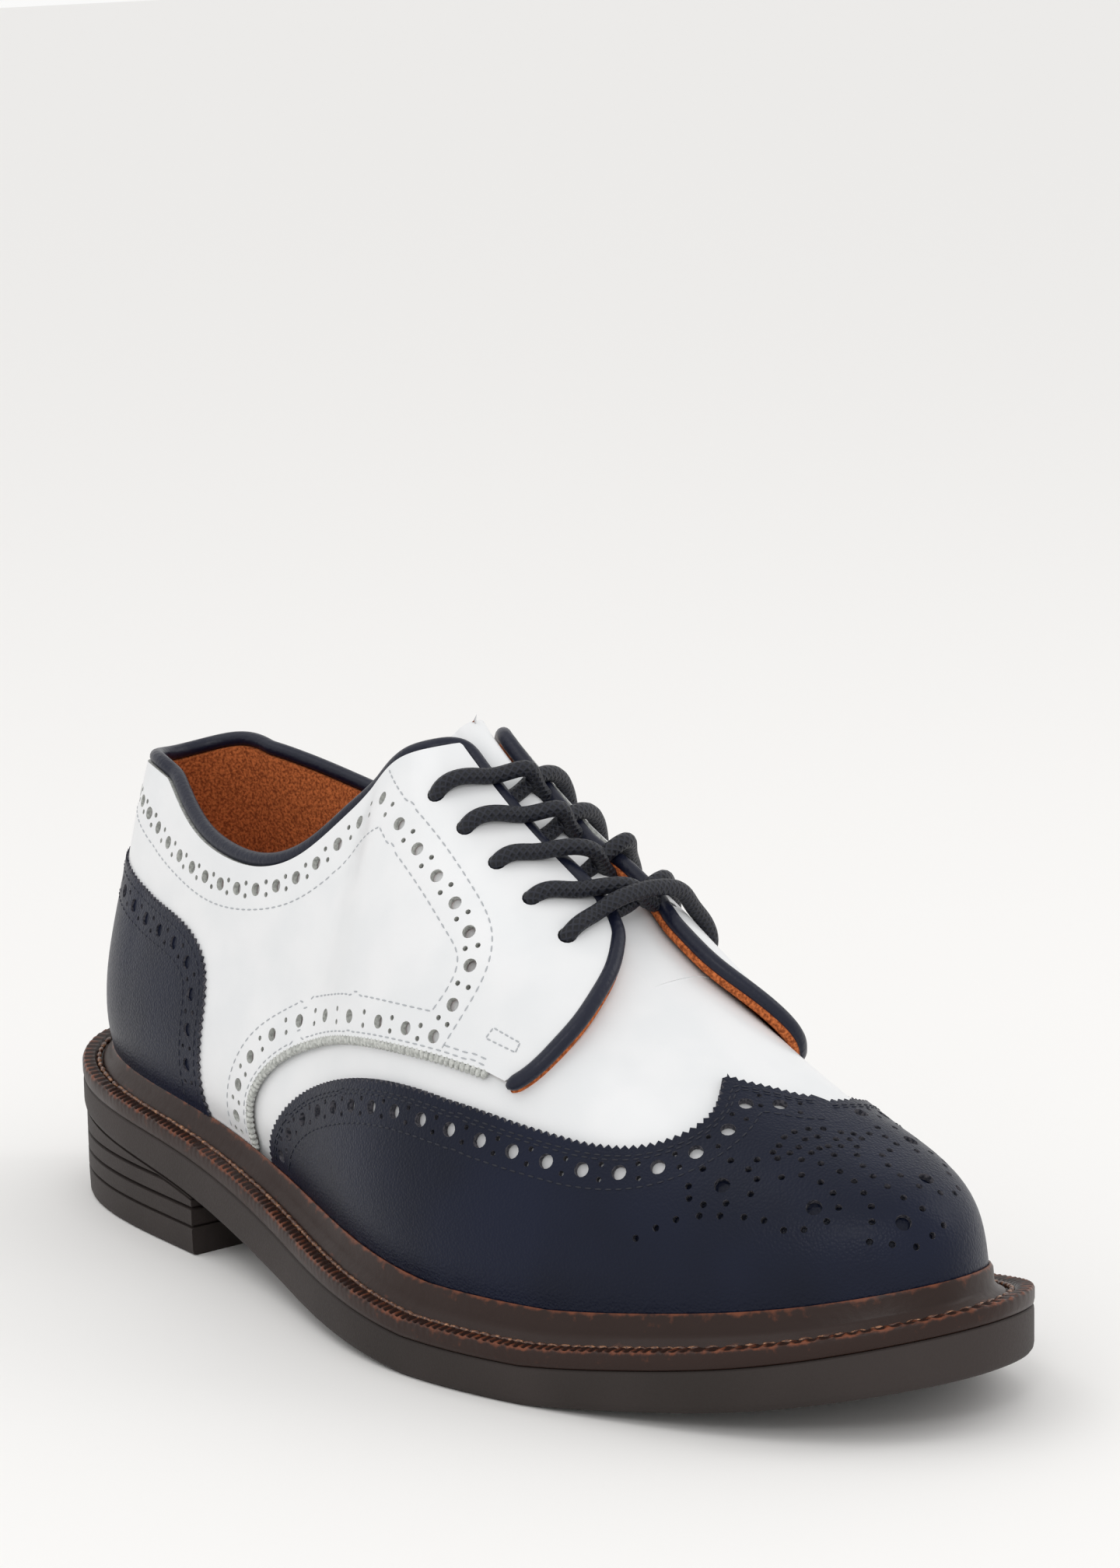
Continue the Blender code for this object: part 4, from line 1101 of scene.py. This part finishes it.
def cut_panel(name, border, holes, chart, finish, rim, inner, lift=0.0, flap=False,
              spacing=0.0021, thickness=PANEL):
    """Cuts one leather panel with its holes and lays it on the last."""
    step_lap, step_up = spacing / 0.33, spacing / 0.085
    laps, ups = np.meshgrid(np.arange(border[:, 0].min(), border[:, 0].max(), step_lap),
                            np.arange(border[:, 1].min(), border[:, 1].max(), step_up))
    filler = np.stack([laps.ravel(), ups.ravel()], 1)
    filler = filler[(filler[:, 1] < 0.99) | (border[:, 1].max() < 1.2)]
    rim_flat = chart(border)
    hole_flat = [chart(ring) for ring in holes]
    flat = chart(filler)
    keep = inside_polygon(flat, rim_flat)
    filler, flat = filler[keep], flat[keep]
    edges_flat = np.vstack([rim_flat] + hole_flat)
    taken = {}
    cell = spacing * 0.55
    for x, y in edges_flat:
        taken.setdefault((int(x // cell), int(y // cell)), []).append((x, y))
    chosen = []
    for index, (x, y) in enumerate(flat):
        a, b = int(x // cell), int(y // cell)
        near = [p for i in (-1, 0, 1) for j in (-1, 0, 1) for p in taken.get((a + i, b + j), [])]
        if all((x - p[0]) ** 2 + (y - p[1]) ** 2 > cell ** 2 for p in near):
            taken.setdefault((a, b), []).append((x, y))
            chosen.append(index)
    for ring in hole_flat:
        chosen = [k for k in chosen if np.hypot(*(flat[k] - ring.mean(0))) >
                  np.hypot(*(ring[0] - ring.mean(0)))]
    spots = np.vstack([border] + list(holes) + [filler[chosen]])
    flat = np.vstack([rim_flat] + hole_flat + [flat[chosen]])
    edges, start = [], 0
    for ring in [border] + list(holes):
        edges += [(start + k, start + (k + 1) % len(ring)) for k in range(len(ring))]
        start += len(ring)
    out, _, faces, origin, _, _ = delaunay_2d_cdt([Vector(p) for p in flat], edges, [], 0, 1e-7)
    out = np.array([tuple(p) for p in out])
    home = np.array([ids[0] if ids else int(np.argmin(((flat - p) ** 2).sum(1)))
                     for ids, p in zip(origin, out)])
    faces = np.array([face for face in faces if len(face) == 3])
    middles = out[faces].mean(1)
    keep = inside_polygon(middles, rim_flat)
    for ring in hole_flat:
        centre = ring.mean(0)
        near = np.nonzero(np.hypot(*(middles - centre).T) < 0.004)[0]
        keep[near] &= ~inside_polygon(middles[near], ring)
    faces = faces[keep]
    spots = spots[home]
    lap, up = spots[:, 0], spots[:, 1]
    rise = lift + (flap_lift(lap, up) if flap else 0.0)
    normal = outward(lap, np.clip(up, 0, None))
    place = wall(lap, up) + normal * np.reshape(rise, (-1, 1))
    one, two, three = (place[faces[:, k]] for k in range(3))
    if (np.cross(two - one, three - one) * normal[faces[:, 0]]).sum(1).sum() < 0:
        faces = faces[:, ::-1]
    used = np.unique(faces)
    number = np.zeros(len(place), int)
    number[used] = np.arange(len(used))
    made = make_object(name, place[used], number[faces].tolist(), finish, inside=[rim, inner])
    weld(made)
    solidify(made, thickness, inner=2, rim=1)
    print(name, len(made.data.polygons), "faces,", len(holes), "holes")
    return made


# %% [markdown]
# Stitches, beads and other small repeats are copies of one little shape along a line. Each
# copy lies in the leather's own plane, and one mesh holds all copies of a colour.

# %% Rows of stitches
bpy.ops.mesh.primitive_uv_sphere_add(segments=8, ring_count=5)
pill = bpy.context.object
PILL = np.array([tuple(v.co) for v in pill.data.vertices])
PILL_FACES = [tuple(p.vertices) for p in pill.data.polygons]
bpy.data.objects.remove(pill)
rows_of_thread = {}


def lay_copies(key, places, tangents, normals, size):
    """Keeps one small shape at each place, with its length, width and height."""
    sides = np.cross(normals, tangents)
    shape = PILL * np.array(size) / 2
    copies = (places[:, None] + shape[None, :, :1] * tangents[:, None]
              + shape[None, :, 1:2] * sides[:, None] + shape[None, :, 2:] * normals[:, None])
    rows_of_thread.setdefault(key, []).append(copies)


def stitch(key, spots, pitch=0.0024, length=0.0017, lift=0.0, flap=False):
    """One row of stitches along a line."""
    spots = even(spots, pitch)
    spots = (spots[1:] + spots[:-1]) / 2
    place, tangent, _, normal = directions(spots)
    rise = lift + 0.00002 + (flap_lift(spots[:, 0], spots[:, 1])[:, None] if flap else 0.0)
    lay_copies(key, place + normal * rise, tangent, normal, (length, 0.00042, 0.0003))


def join_copies(key, finish, name):
    """Makes one mesh of all copies with one key."""
    blocks = np.concatenate(rows_of_thread[key])
    count = len(PILL)
    faces = np.array([f + (f[-1],) * (4 - len(f)) for f in PILL_FACES])
    every = (faces[None] + np.arange(len(blocks))[:, None, None] * count).reshape(-1, 4)
    every = [tuple(dict.fromkeys(face)) for face in every.tolist()]
    made = make_object(name, blocks.reshape(-1, 3), every, finish, smooth=180)
    print(name, len(blocks), "copies")
    finish_piece(made)


# %% [markdown]
# The wing. Its back edge sweeps up from the welt on both sides and meets in a point on the
# toe. A row of holes follows the edge, and a scrolled medallion is punched on top of the toe.

# %% Wing tip with its medallion
LATERAL, MEDIAL = -1, 1
SIDES = (LATERAL, MEDIAL)
# share of the length, mm up the wall
WING_FOOT = ((0.358, -10.8), (0.362, -2.0), (0.367, 4.2), (0.380, 11.0), (0.399, 17.6),
             (0.423, 23.6), (0.455, 29.3))
WING_EDGE = {
    LATERAL: ((0.504, 35.6), (0.557, 39.8), (0.601, 41.2), (0.646, 40.6), (0.685, 39.2),
              (0.721, 38.0), (0.752, 37.3), (0.776, 38.8), (0.789, 42.3), (0.793, 49.1),
              (0.786, 55.9), (0.774, 63.6)),
    MEDIAL: ((0.504, 35.2), (0.557, 38.8), (0.601, 39.6), (0.646, 38.8), (0.685, 37.4),
             (0.721, 36.2), (0.752, 35.4), (0.778, 35.6), (0.800, 36.8), (0.816, 39.4),
             (0.826, 43.4), (0.829, 47.6), (0.829, 51.5), (0.8237, 58.0)),
}
WING_PEAK = ((0.774, 63.6), (0.785, 63.1), (0.794, 63.6), (0.804, 64.1), (0.8163, 65.0),
             (0.8237, 69.0))


FOOT_UP = -0.9


def foot_line(first, last, step=0.004):
    """Along the bottom of the wall, hidden in the welt."""
    count = max(int(abs(last - first) / step), 2)
    laps = np.linspace(first, last, count)
    return np.stack([laps, np.full(count, FOOT_UP)], 1)


def wing_edge(side):
    """One half of the wing's back edge. Its peak stands on the lateral side of the ridge."""
    edge = line(side, WING_FOOT + WING_EDGE[side], rises=True)
    if side == LATERAL:
        edge = np.vstack([edge, line(side, WING_PEAK, rises=True)[1:]])
    return edge[edge[:, 1] < 0.993]


def cap_spot(forward, across):
    """A place on the toe: metres ahead of the last's toe centre, and to the medial side."""
    if forward > 0:
        distance = math.hypot(forward, across)
        share = 1 - (1 - TOE_CENTRE) * math.acos(forward / distance) / (math.pi / 2)
    else:
        distance, share = abs(across), TOE_CENTRE + forward / LENGTH
    lap = share if across < 0 else 2 - share
    column_arcs = grid_read(arcs, np.full(UPS, lap), turn_grid)
    return lap, float(np.interp(column_arcs[-1] - distance, column_arcs, turn_grid))


# The medallion's half, in mm: along its middle line from the toe centre, and to its side
LARGE_HOLES = ((2.5, 22.5), (20, 13.5), (32, 0))
SMALL_HOLES = ((38, 0), (36, 5), (33.5, 9.2), (29.5, 6), (26, 3.8), (24.5, 13.8), (23, 9.6),
               (23, 18.8), (22, 2.8), (20, 22), (19, 8), (18, 2.2), (15, 8), (15, 23), (14, 2.7),
               (11, 9.5), (11, 25), (10, 4.2), (9, 12.8), (8.5, 0), (7, 6.4), (8, 20), (7, 28),
               (6, 3.4), (6, 16.5), (6, 25), (5.3, 1), (4, 6.8), (4, 9.7), (4, 31), (3.3, 4.2),
               (3, 16), (3, 28.5), (2, 13), (2, 9.2), (1.5, 1.4), (1, 7), (1, 35), (0, 29.5),
               (-0.8, 4.4), (-1, 17), (-1, 39.5), (-1.5, 1.6), (-2, 27.5), (-3, 22.5),
               (-3, 44.5))
MEDALLION_ASIDE = 12.0
MEDALLION_TURN = 0.34
LARGE_PUNCH = 0.0017
SMALL_PUNCH = 0.00065
EYELET_HOLE = 0.0021
BACKING = 0.0002

wing_sides = {side: wing_edge(side) for side in SIDES}
wing_back = np.vstack([pinked(wing_sides[LATERAL]), pinked(wing_sides[MEDIAL])[::-1]])
wing_border = np.vstack([wing_back, foot_line(2 - 0.358, 0.358)[1:-1]])
wing_holes = []
for side in SIDES:
    edge = wing_sides[side]
    row = inset(edge, side * 0.0058)
    row = row[(row[:, 1] > 0.0) & (row[:, 1] < 0.985)]
    wing_holes += brogue(row, 0.0088, LARGE_PUNCH, SMALL_PUNCH, 0.0017)
    for distance in (0.0021, 0.0097, 0.0030):
        seam = inset(edge, side * distance)
        stitch("navy", seam[(seam[:, 1] > -0.1) & (seam[:, 1] < 1.0)], lift=0.00002)
for holes, radius in ((LARGE_HOLES, 0.0018), (SMALL_HOLES, 0.0008)):
    for ahead, beside in holes:
        for way in ((1,) if beside == 0 else (-1, 1)):
            forward = ahead + MEDALLION_TURN * way * beside
            spot = cap_spot(forward / 1000, (way * beside - MEDALLION_ASIDE) / 1000)
            wing_holes.append(round_hole(spot, radius, 14 if radius > 0.001 else 10))
backing = []
for side in SIDES:
    half_line = even(inset(wing_sides[side], side * 0.0088), 0.002)
    half_line = half_line[half_line[:, 1] < 0.99]
    backing.append(half_line if side < 0 else half_line[::-1])
backing_border = np.vstack([*backing, foot_line(2 - 0.375, 0.375, 0.006)[1:-1]])
toe_backing = cut_panel("toe_backing", backing_border, [], chart_cap, navy, navy, navy,
                        lift=-PANEL - 0.00005, spacing=0.003, thickness=BACKING)
finish_piece(toe_backing)
wing = cut_panel("wing_tip", wing_border, wing_holes, chart_cap, navy, dark_raw, dark_raw)
finish_piece(wing, ["wingtip"])

# %% [markdown]
# The counter wraps the heel. Its pinked edge overlaps the white quarters, so it stands a
# little proud of them.

# %% Heel counter
# share of the length, mm up the wall
COUNTER_TOP = ((0.000, 47.5), (0.050, 47.2), (0.105, 45.8), (0.151, 43.9), (0.196, 42.7),
               (0.230, 40.2), (0.249, 36.0), (0.257, 30.3), (0.259, 24.6), (0.259, 17.3),
               (0.259, 10.4), (0.262, 3.1), (0.268, -2.0), (0.274, -10.8))
COUNTER_LIFT = 0.0007
counter_sides = {side: line(side, COUNTER_TOP, rises=True) for side in SIDES}
lateral_edge = counter_sides[LATERAL]
medial_edge = counter_sides[MEDIAL].copy()
medial_edge[:, 0] -= 2
counter_border = np.vstack([pinked(medial_edge[::-1])[:-1], pinked(lateral_edge),
                            foot_line(0.274, -0.274)[1:-1]])
counter_holes = []
for side, edge in ((LATERAL, lateral_edge), (MEDIAL, medial_edge)):
    row = inset(edge, side * 0.0056)
    counter_holes += brogue(row[row[:, 1] > 0.03], 0.0086, LARGE_PUNCH, SMALL_PUNCH, 0.0016)
    for distance in (0.0021, 0.0092):
        seam = inset(edge, side * distance)
        stitch("navy", seam[seam[:, 1] > -0.1], lift=COUNTER_LIFT)
tucked = [even(inset(edge, side * 0.0016), 0.002)
          for side, edge in ((MEDIAL, medial_edge), (LATERAL, lateral_edge))]
tucked_border = np.vstack([tucked[0][::-1], tucked[1][1:], foot_line(0.268, -0.268)[1:-1]])
counter_backing = cut_panel("counter_backing", tucked_border, [], chart_wall, navy, navy, navy,
                            lift=0.00008, spacing=0.003, thickness=BACKING)
finish_piece(counter_backing)
counter = cut_panel("heel_counter", counter_border, counter_holes, chart_wall, navy, dark_raw,
                    suede, lift=COUNTER_LIFT)
finish_piece(counter, ["counter"])

# %% [markdown]
# The quarters. Each runs from the backstay to the facing. A punched band follows the collar,
# turns down beside the facing and returns along the gimped lower edge.

# %% Quarters with their bands
# share of the length, mm up the wall
LOW_EDGE = ((0.331, -10.8), (0.330, -3), (0.330, 3), (0.334, 11.5), (0.347, 18.6), (0.371, 26.2),
            (0.411, 34.4), (0.476, 42.9), (0.531, 47.2), (0.581, 49.6), (0.616, 50.2),
            (0.640, 49.6))
FLAP_EDGE = {
    LATERAL: ((0.658, 0.436), (0.667, 0.480), (0.675, 0.560), (0.679, 0.660), (0.676, 0.740),
              (0.668, 0.820), (0.657, 0.875), (0.645, 0.920)),
    MEDIAL: ((0.667, 0.424), (0.689, 0.442), (0.704, 0.468), (0.717, 0.520), (0.725, 0.590),
             (0.728, 0.650), (0.725, 0.710), (0.717, 0.765), (0.704, 0.820), (0.689, 0.866),
             (0.667, 0.885), (0.645, 0.895))}
COLLAR_BAND = ((0.020, 66.0), (0.043, 65.4), (0.067, 64.4), (0.089, 63.2), (0.112, 61.8),
               (0.135, 60.0), (0.160, 58.2), (0.185, 56.8), (0.209, 55.8), (0.232, 55.4),
               (0.256, 55.7), (0.280, 56.8), (0.305, 59.0), (0.330, 62.4), (0.353, 66.8),
               (0.375, 72.6), (0.396, 79.4), (0.418, 87.0), (0.455, 96.2))
FACING_BAND = ((0.455, 96.2), (0.489, 93.6), (0.515, 90.4), (0.541, 86.8), (0.565, 82.9),
               (0.586, 78.0), (0.599, 71.0), (0.598, 61.6), (0.590, 53.6))
LOW_BAND = ((0.590, 53.6), (0.561, 52.8), (0.528, 51.2), (0.486, 48.4), (0.438, 43.6),
            (0.396, 37.7), (0.361, 30.5), (0.335, 22.3), (0.320, 14.0), (0.313, 5.5),
            (0.311, -3.0))
OUTER_LINE = ((0.447, 102.5), (0.470, 100.6), (0.495, 98.5), (0.534, 94.0), (0.572, 87.5),
              (0.600, 80.1), (0.612, 70.7), (0.609, 60.5), (0.600, 51.5))
INNER_LINE = ((0.006, 60.6), (0.060, 59.6), (0.113, 56.6), (0.150, 54.0), (0.186, 52.0),
              (0.241, 50.4), (0.298, 53.5), (0.361, 62.6), (0.405, 74.4), (0.437, 84.4),
              (0.467, 90.5))
INNER_DOWN = ((0.467, 90.5), (0.511, 85.6), (0.545, 80.6), (0.571, 75.9), (0.588, 71.5),
              (0.590, 66.0), (0.582, 58.6))
LOW_INNER = ((0.582, 58.6), (0.526, 56.0), (0.480, 52.9), (0.438, 48.4), (0.405, 44.0),
             (0.374, 38.0), (0.330, 26.8), (0.308, 15.8), (0.300, 7.0), (0.299, -2.0))
TACK = ((0.6325, 56.6), (0.6350, 59.2), (0.6575, 57.2), (0.6575, 54.9), (0.6325, 56.6))


def facing_up(side, share):
    here = Section(lap_of(side, share))
    return min(here.turn_at_half(FACING_GAP) / here.top, 1.0)


def throat_line(side, first, last, count):
    return [(lap_of(side, share), facing_up(side, share))
            for share in np.linspace(first, last, count)]


def level_line(side, first, last, count, up):
    """A line at one fraction, such as the collar at 1."""
    return [(lap_of(side, share), up) for share in np.linspace(first, last, count)]


for side, name in ((LATERAL, "quarter_lateral"), (MEDIAL, "quarter_medial")):
    low_edge = line(side, LOW_EDGE, rises=True)
    flap_edge = line(side, FLAP_EDGE[side])
    throat = throat_line(side, 0.634, 0.587, 24)
    collar = level_line(side, 0.585, 0.0045, 250, 1.0)
    back = line(side, ((0.0045, 0.98), (0.0045, 0.46)), 0.002)
    laps = np.array([lap_of(side, share) for share, _ in COUNTER_TOP[:7]])
    rises = np.array([rise / 1000 - 0.005 for _, rise in COUNTER_TOP[:7]])
    under = np.stack([laps, fraction_at(laps, rises)], 1)[1:]
    foot = level_line(side, 0.245, 0.335, 24, FOOT_UP)
    border = np.vstack([even(low_edge, 0.001), even(flap_edge, 0.001), throat, collar, back,
                        under, foot])
    holes = []
    for band in (COLLAR_BAND, FACING_BAND, LOW_BAND):
        holes += brogue_at(side, band, 0.0016, SMALL_PUNCH, 0.0015)
    for level in range(EYELETS):
        share = EYELET_TOP + EYELET_STEP * level
        here = Section(lap_of(side, share))
        up_there = here.turn_at_half(EYELET_REACH) / here.top
        holes.append(round_hole((lap_of(side, share), up_there), EYELET_HOLE, 14))
    quarter = cut_panel(name, border, holes, chart_wall, white, raw, suede, flap=True)
    finish_piece(quarter, [name])
    for rows in (OUTER_LINE, INNER_LINE, INNER_DOWN, LOW_INNER):
        stitch("grey", line(side, rows, rises=True), flap=True)
    for first, second in zip(TACK[:-1], TACK[1:]):
        stitch("grey", line(side, (first, second), rises=True), pitch=0.0015, length=0.0012,
               flap=True)
    for distance, behind in ((0.0011, 0.0), (0.0025, 0.600)):
        seam = inset(low_edge, side * -distance)
        seam = seam[(seam[:, 1] > -0.05) & (share_of(seam[:, 0]) > behind)]
        stitch("grey", seam, flap=True)
    beads = even(inset(low_edge, side * 0.0006), 0.0015)
    place, tangent, _, normal = directions(beads[beads[:, 1] > -0.1])
    lay_copies("gimp", place - normal * 0.0006, tangent, normal, (0.0017, 0.0028, 0.0017))
join_copies("gimp", raw, "gimped_edge")
join_copies("grey", grey_thread, "white_seams")
join_copies("navy", navy_thread, "navy_seams")

# %% [markdown]
# Cords are tubes swept along a line of points. The frame of each ring is carried on from the
# last one, so the cord doesn't twist, and a UV map records length and turn for the braid.

# %% Cords


def cord(name, points, radius, finish, sides=14, pitch=0.0009):
    """A round cord with closed ends through a line of points."""
    points = np.asarray(points, float)
    path = np.concatenate([[0], np.cumsum(np.linalg.norm(np.diff(points, axis=0), axis=1))])
    places = np.linspace(0, path[-1], max(int(path[-1] / pitch), 4))
    centres = np.stack([smooth_curve(path, points[:, axis])(places) for axis in range(3)], 1)
    tangent = unit(np.gradient(centres, axis=0))
    normal = unit(np.cross(tangent[0], (0.0, 0.0, 1.0)))
    angles = np.linspace(0, 2 * math.pi, sides, endpoint=False)
    rings = []
    for centre, ahead in zip(centres, tangent):
        normal = unit(normal - ahead * (normal @ ahead))
        beside = np.cross(ahead, normal)
        rings.append(centre + radius * (normal * np.cos(angles)[:, None]
                                        + beside * np.sin(angles)[:, None]))
    count = len(rings)
    for index, share in enumerate((0.35, 0.75, 0.94)):
        for end in (index, count - 1 - index):
            rings[end] = centres[end] + (rings[end] - centres[end]) * share
    faces = [face[::-1] for face in grid_faces(count, sides, closed_columns=True)]
    corners = np.concatenate(rings)
    faces.append(tuple(range(sides)))
    faces.append(tuple(range((count - 1) * sides, count * sides))[::-1])
    made = make_object(name, corners, faces, finish, smooth=180)
    layer = made.data.uv_layers.new(name="cord")
    for polygon in made.data.polygons:
        turns = [vertex % sides for vertex in polygon.vertices]
        wrap = max(turns) - min(turns) > sides / 2
        for loop, turn_number in zip(polygon.loop_indices, turns):
            ring = made.data.loops[loop].vertex_index // sides
            value = turn_number + (sides if wrap and turn_number == 0 else 0)
            layer.data[loop].uv = (places[ring] / (2 * radius), value / sides)
    face_outwards(made)
    return made


# %% [markdown]
# The navy piping binds the whole top edge in one run: up one flap, round the collar and down
# the other flap. Below it, on the free flaps, the suede lining shows as a narrow rim.

# %% Piping
PIPING = 0.0018


def piping_height(share, up):
    """How far the piping's centre stands off the last."""
    over = np.maximum(flap_lift(share, up) - 0.5 * PANEL, 0.00025)
    blend = ease((share - 0.572) / 0.03)
    return -(PANEL + CLEARANCE + UPPER_WALL) / 2 * (1 - blend) + over * blend


def binding(side):
    """One half of the piping's line, from the flap's corner to the back of the heel."""
    flap = line(side, FLAP_EDGE[side])
    return np.vstack([even(flap, 0.001)[:-2], throat_line(side, 0.636, 0.590, 12),
                      level_line(side, 0.582, 0.0, 200, 1.0)])


lateral_half = binding(LATERAL)
medial_half = binding(MEDIAL)
medial_half[:, 0] -= 2
bound = np.vstack([lateral_half, medial_half[::-1][1:]])
edge_points = wall(bound[:, 0], bound[:, 1])
steps = np.linalg.norm(np.diff(edge_points, axis=0), axis=1)
bound = bound[np.concatenate([[True], steps > 0.0003])]
edge_points, _, edge_in, edge_normal = directions(bound)
away = edge_in if edge_in[len(bound) // 2, 2] > 0 else -edge_in
bound_share = np.abs(bound[:, 0])
stand = piping_height(bound_share, bound[:, 1])[:, None]
piping_line = edge_points + away * (PIPING * 0.92) + edge_normal * stand
for _ in range(3):
    piping_line[1:-1] = (piping_line[:-2] + 2 * piping_line[1:-1] + piping_line[2:]) / 4
piping = cord("edge_piping", piping_line, PIPING, piped, sides=16)
finish_piece(piping, ["piping"])
for name, half in (("lateral", bound[:, 0] > 0), ("medial", bound[:, 0] <= 0)):
    where = np.nonzero((bound_share > 0.572) & half)[0]
    rim_line = piping_line[where] - edge_normal[where] * 0.0019 + away[where] * 0.0005
    rim_cord = cord(f"lining_rim_{name}", rim_line, 0.0012, suede, sides=10)
    finish_piece(rim_cord)
print("Piping", len(piping.data.polygons), "faces")

# %% [markdown]
# The tongue is one smooth sheet of white leather. It grows out of the vamp in front of the
# throat, dips under the facings and ends in a rounded top behind them.

# %% Tongue
TONGUE_ROWS = ((0.474, 0.075), (0.480, 0.094), (0.495, 0.106), (0.530, 0.135),
               (0.640, 0.140), (0.690, 0.120))
TONGUE_THICK = 0.0018
TONGUE_ACROSS = 41
tongue_half = column(TONGUE_ROWS, 1, BALL_WIDTH)
tongue_shares = np.linspace(0.474, 0.69, 80)
tongue_rows = []
depths = []
for share in tongue_shares:
    half_width = float(tongue_half(share))
    flush = float(ease((share - 0.570) / 0.035))
    row, depth_row = [], []
    for across in np.linspace(-1, 1, TONGUE_ACROSS):
        here = Section(lap_of(1 if across > 0 else -1, share))
        half, height = here.profile(here.turn_at_half(abs(across) * half_width))
        spot = here.origin + here.way * half
        inside_gap = max(1 - (across * half_width / 0.0062) ** 2, 0)
        rise = 0.0024 * inside_gap * float(ease((0.61 - share) / 0.06))
        row.append(placed(spot, height))
        depth_row.append(rise - 0.0046 * (1 - flush) - 0.0016 * flush
                         - 0.0006 * abs(across) ** 3)
    tongue_rows.append(row)
    depths.append(depth_row)
sheet = np.array(tongue_rows)
lean = unit(np.cross(np.gradient(sheet, axis=0), np.gradient(sheet, axis=1)))
middle = TONGUE_ACROSS // 2
lean *= np.sign(lean[:, middle:middle + 1, 2:3])
sheet = sheet + lean * np.array(depths)[:, :, None]
tongue = make_object("tongue_leather", sheet.reshape(-1, 3), grid_faces(len(sheet), TONGUE_ACROSS),
                     white, inside=[suede])
build = bmesh.new()
build.from_mesh(tongue.data)
if sum(face.normal.z for face in build.faces) < 0:
    bmesh.ops.reverse_faces(build, faces=build.faces)
build.to_mesh(tongue.data)
build.free()
solidify(tongue, TONGUE_THICK, inner=1, rim=0)
finish_piece(tongue, ["tongue"])

# %% [markdown]
# The lace is laid as it is threaded. Each run comes from under its own facing, crosses its
# partner over the gap, climbs over the other side's piping and goes down into the eyelet.

# %% Lacing
LACE = 0.0019
EYELET_SHARES = [EYELET_TOP + EYELET_STEP * level for level in range(EYELETS)]


def lace_spot(share, across, height):
    """A point over the last, from how far it is to the side of the ridge."""
    side = 1 if across > 0 else -1
    lap = lap_of(side, share)
    here = Section(lap)
    turn_there = here.turn_at_half(abs(across))
    half, level = here.profile(turn_there)
    spot = here.origin + here.way * half
    normal = outward(lap, min(turn_there / here.top, 0.985))
    if abs(across) < 0.006:
        normal = unit(normal * (abs(across) / 0.006, 1, 1))
    return np.array(placed(spot, level)) + normal * height


def over_leather(share):
    return float(flap_lift(share, 1.0))


for level in range(EYELETS - 1):
    for way in SIDES:
        first, last = EYELET_SHARES[level + 1], EYELET_SHARES[level]
        closed = level == EYELETS - 2
        cross_height = 0.0040 if way < 0 else -0.0002
        if closed:
            cross_height = 0.0062 if way < 0 else 0.0020
        piped_height = float(piping_height(first, 0.9)) + PIPING + LACE * 0.9
        low = 0.0012 if closed else -0.0030
        # across towards its eyelet, height, share
        knots = ((-0.0120, low, first), (-0.0070, low + 0.0002, first - 0.001),
                 (-0.0020, 0.6 * low + 0.4 * cross_height, first - 0.003),
                 (0.0015, cross_height, first - 0.006),
                 (0.0080, piped_height, 0.66 * first + 0.34 * last - 0.002),
                 (0.0130, over_leather(last) + LACE * 1.1, 0.36 * first + 0.64 * last),
                 (0.0178, over_leather(last) + LACE * 0.75, 0.08 * first + 0.92 * last),
                 (0.0200, over_leather(last) - 0.0006, last),
                 (0.0206, over_leather(last) - 0.0038, last))
        run = [lace_spot(share, way * across, height) for across, height, share in knots]
        lace = cord(f"lace_{level + 1}_{'outer' if way < 0 else 'inner'}", run, LACE, lace_finish)
        finish_piece(lace, [f"lace_cross_{level + 1}"] if way < 0 else [])
last = EYELET_SHARES[-1]
lift_there = over_leather(last)
bar = []
for way in SIDES:
    half_run = [lace_spot(last, way * across, height) for across, height in (
        (0.0206, lift_there - 0.0038), (0.0200, lift_there - 0.0006),
        (0.0178, lift_there + LACE * 0.75), (0.0130, lift_there + LACE * 1.1),
        (0.0085, lift_there + PIPING * 1.2 + LACE), (0.0040, lift_there + PIPING * 1.6 + LACE))]
    bar += half_run if way < 0 else half_run[::-1]
lace_bar = cord("lace_bar_run", bar, LACE, lace_finish)
finish_piece(lace_bar, ["lace_bar"])

# %% [markdown]
# The welt's seam: thick waxed stitches in the channel, one after the other all the way round.

# %% Welt stitches
rust = Finish("rust_thread", (0.20, 0.075, 0.03), 0.5, Coat_Weight=0.3, Coat_Roughness=0.3)
fleck = rust.noise(900, 3.0)
rust.set("Base Color", rust.mix(fleck.fade(0.45, 0.75), (0.07, 0.024, 0.012), (0.50, 0.24, 0.12)))
rust.bump(fleck, 0.0003)
STITCHES = 210
SEAM_IN = 0.49
SEAM_DEPTH = 0.0006
ring = []
for k in range(STITCHES * 2):
    here = Section(2.0 * k / (STITCHES * 2))
    spot = here.origin + here.way * (here.edge - SEAM_IN * (here.edge - here.half))
    level = float(sole_top(spot[0] / LENGTH)) + WELT_THICKNESS - SEAM_DEPTH
    ring.append(placed(spot, level))
ring = np.array(ring)
seam_path = unit(np.roll(ring, -1, 0) - np.roll(ring, 1, 0))[::2]
upright = np.repeat([[0.0, 0.0, 1.0]], STITCHES, 0)
upright = unit(upright - seam_path * (upright * seam_path).sum(1)[:, None])
lay_copies("welt", ring[::2], seam_path, upright, (0.0037, 0.0013, 0.0012))
join_copies("welt", rust, "welt_stitches")

# %% Bounds of the shown pieces
low, high_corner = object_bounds()
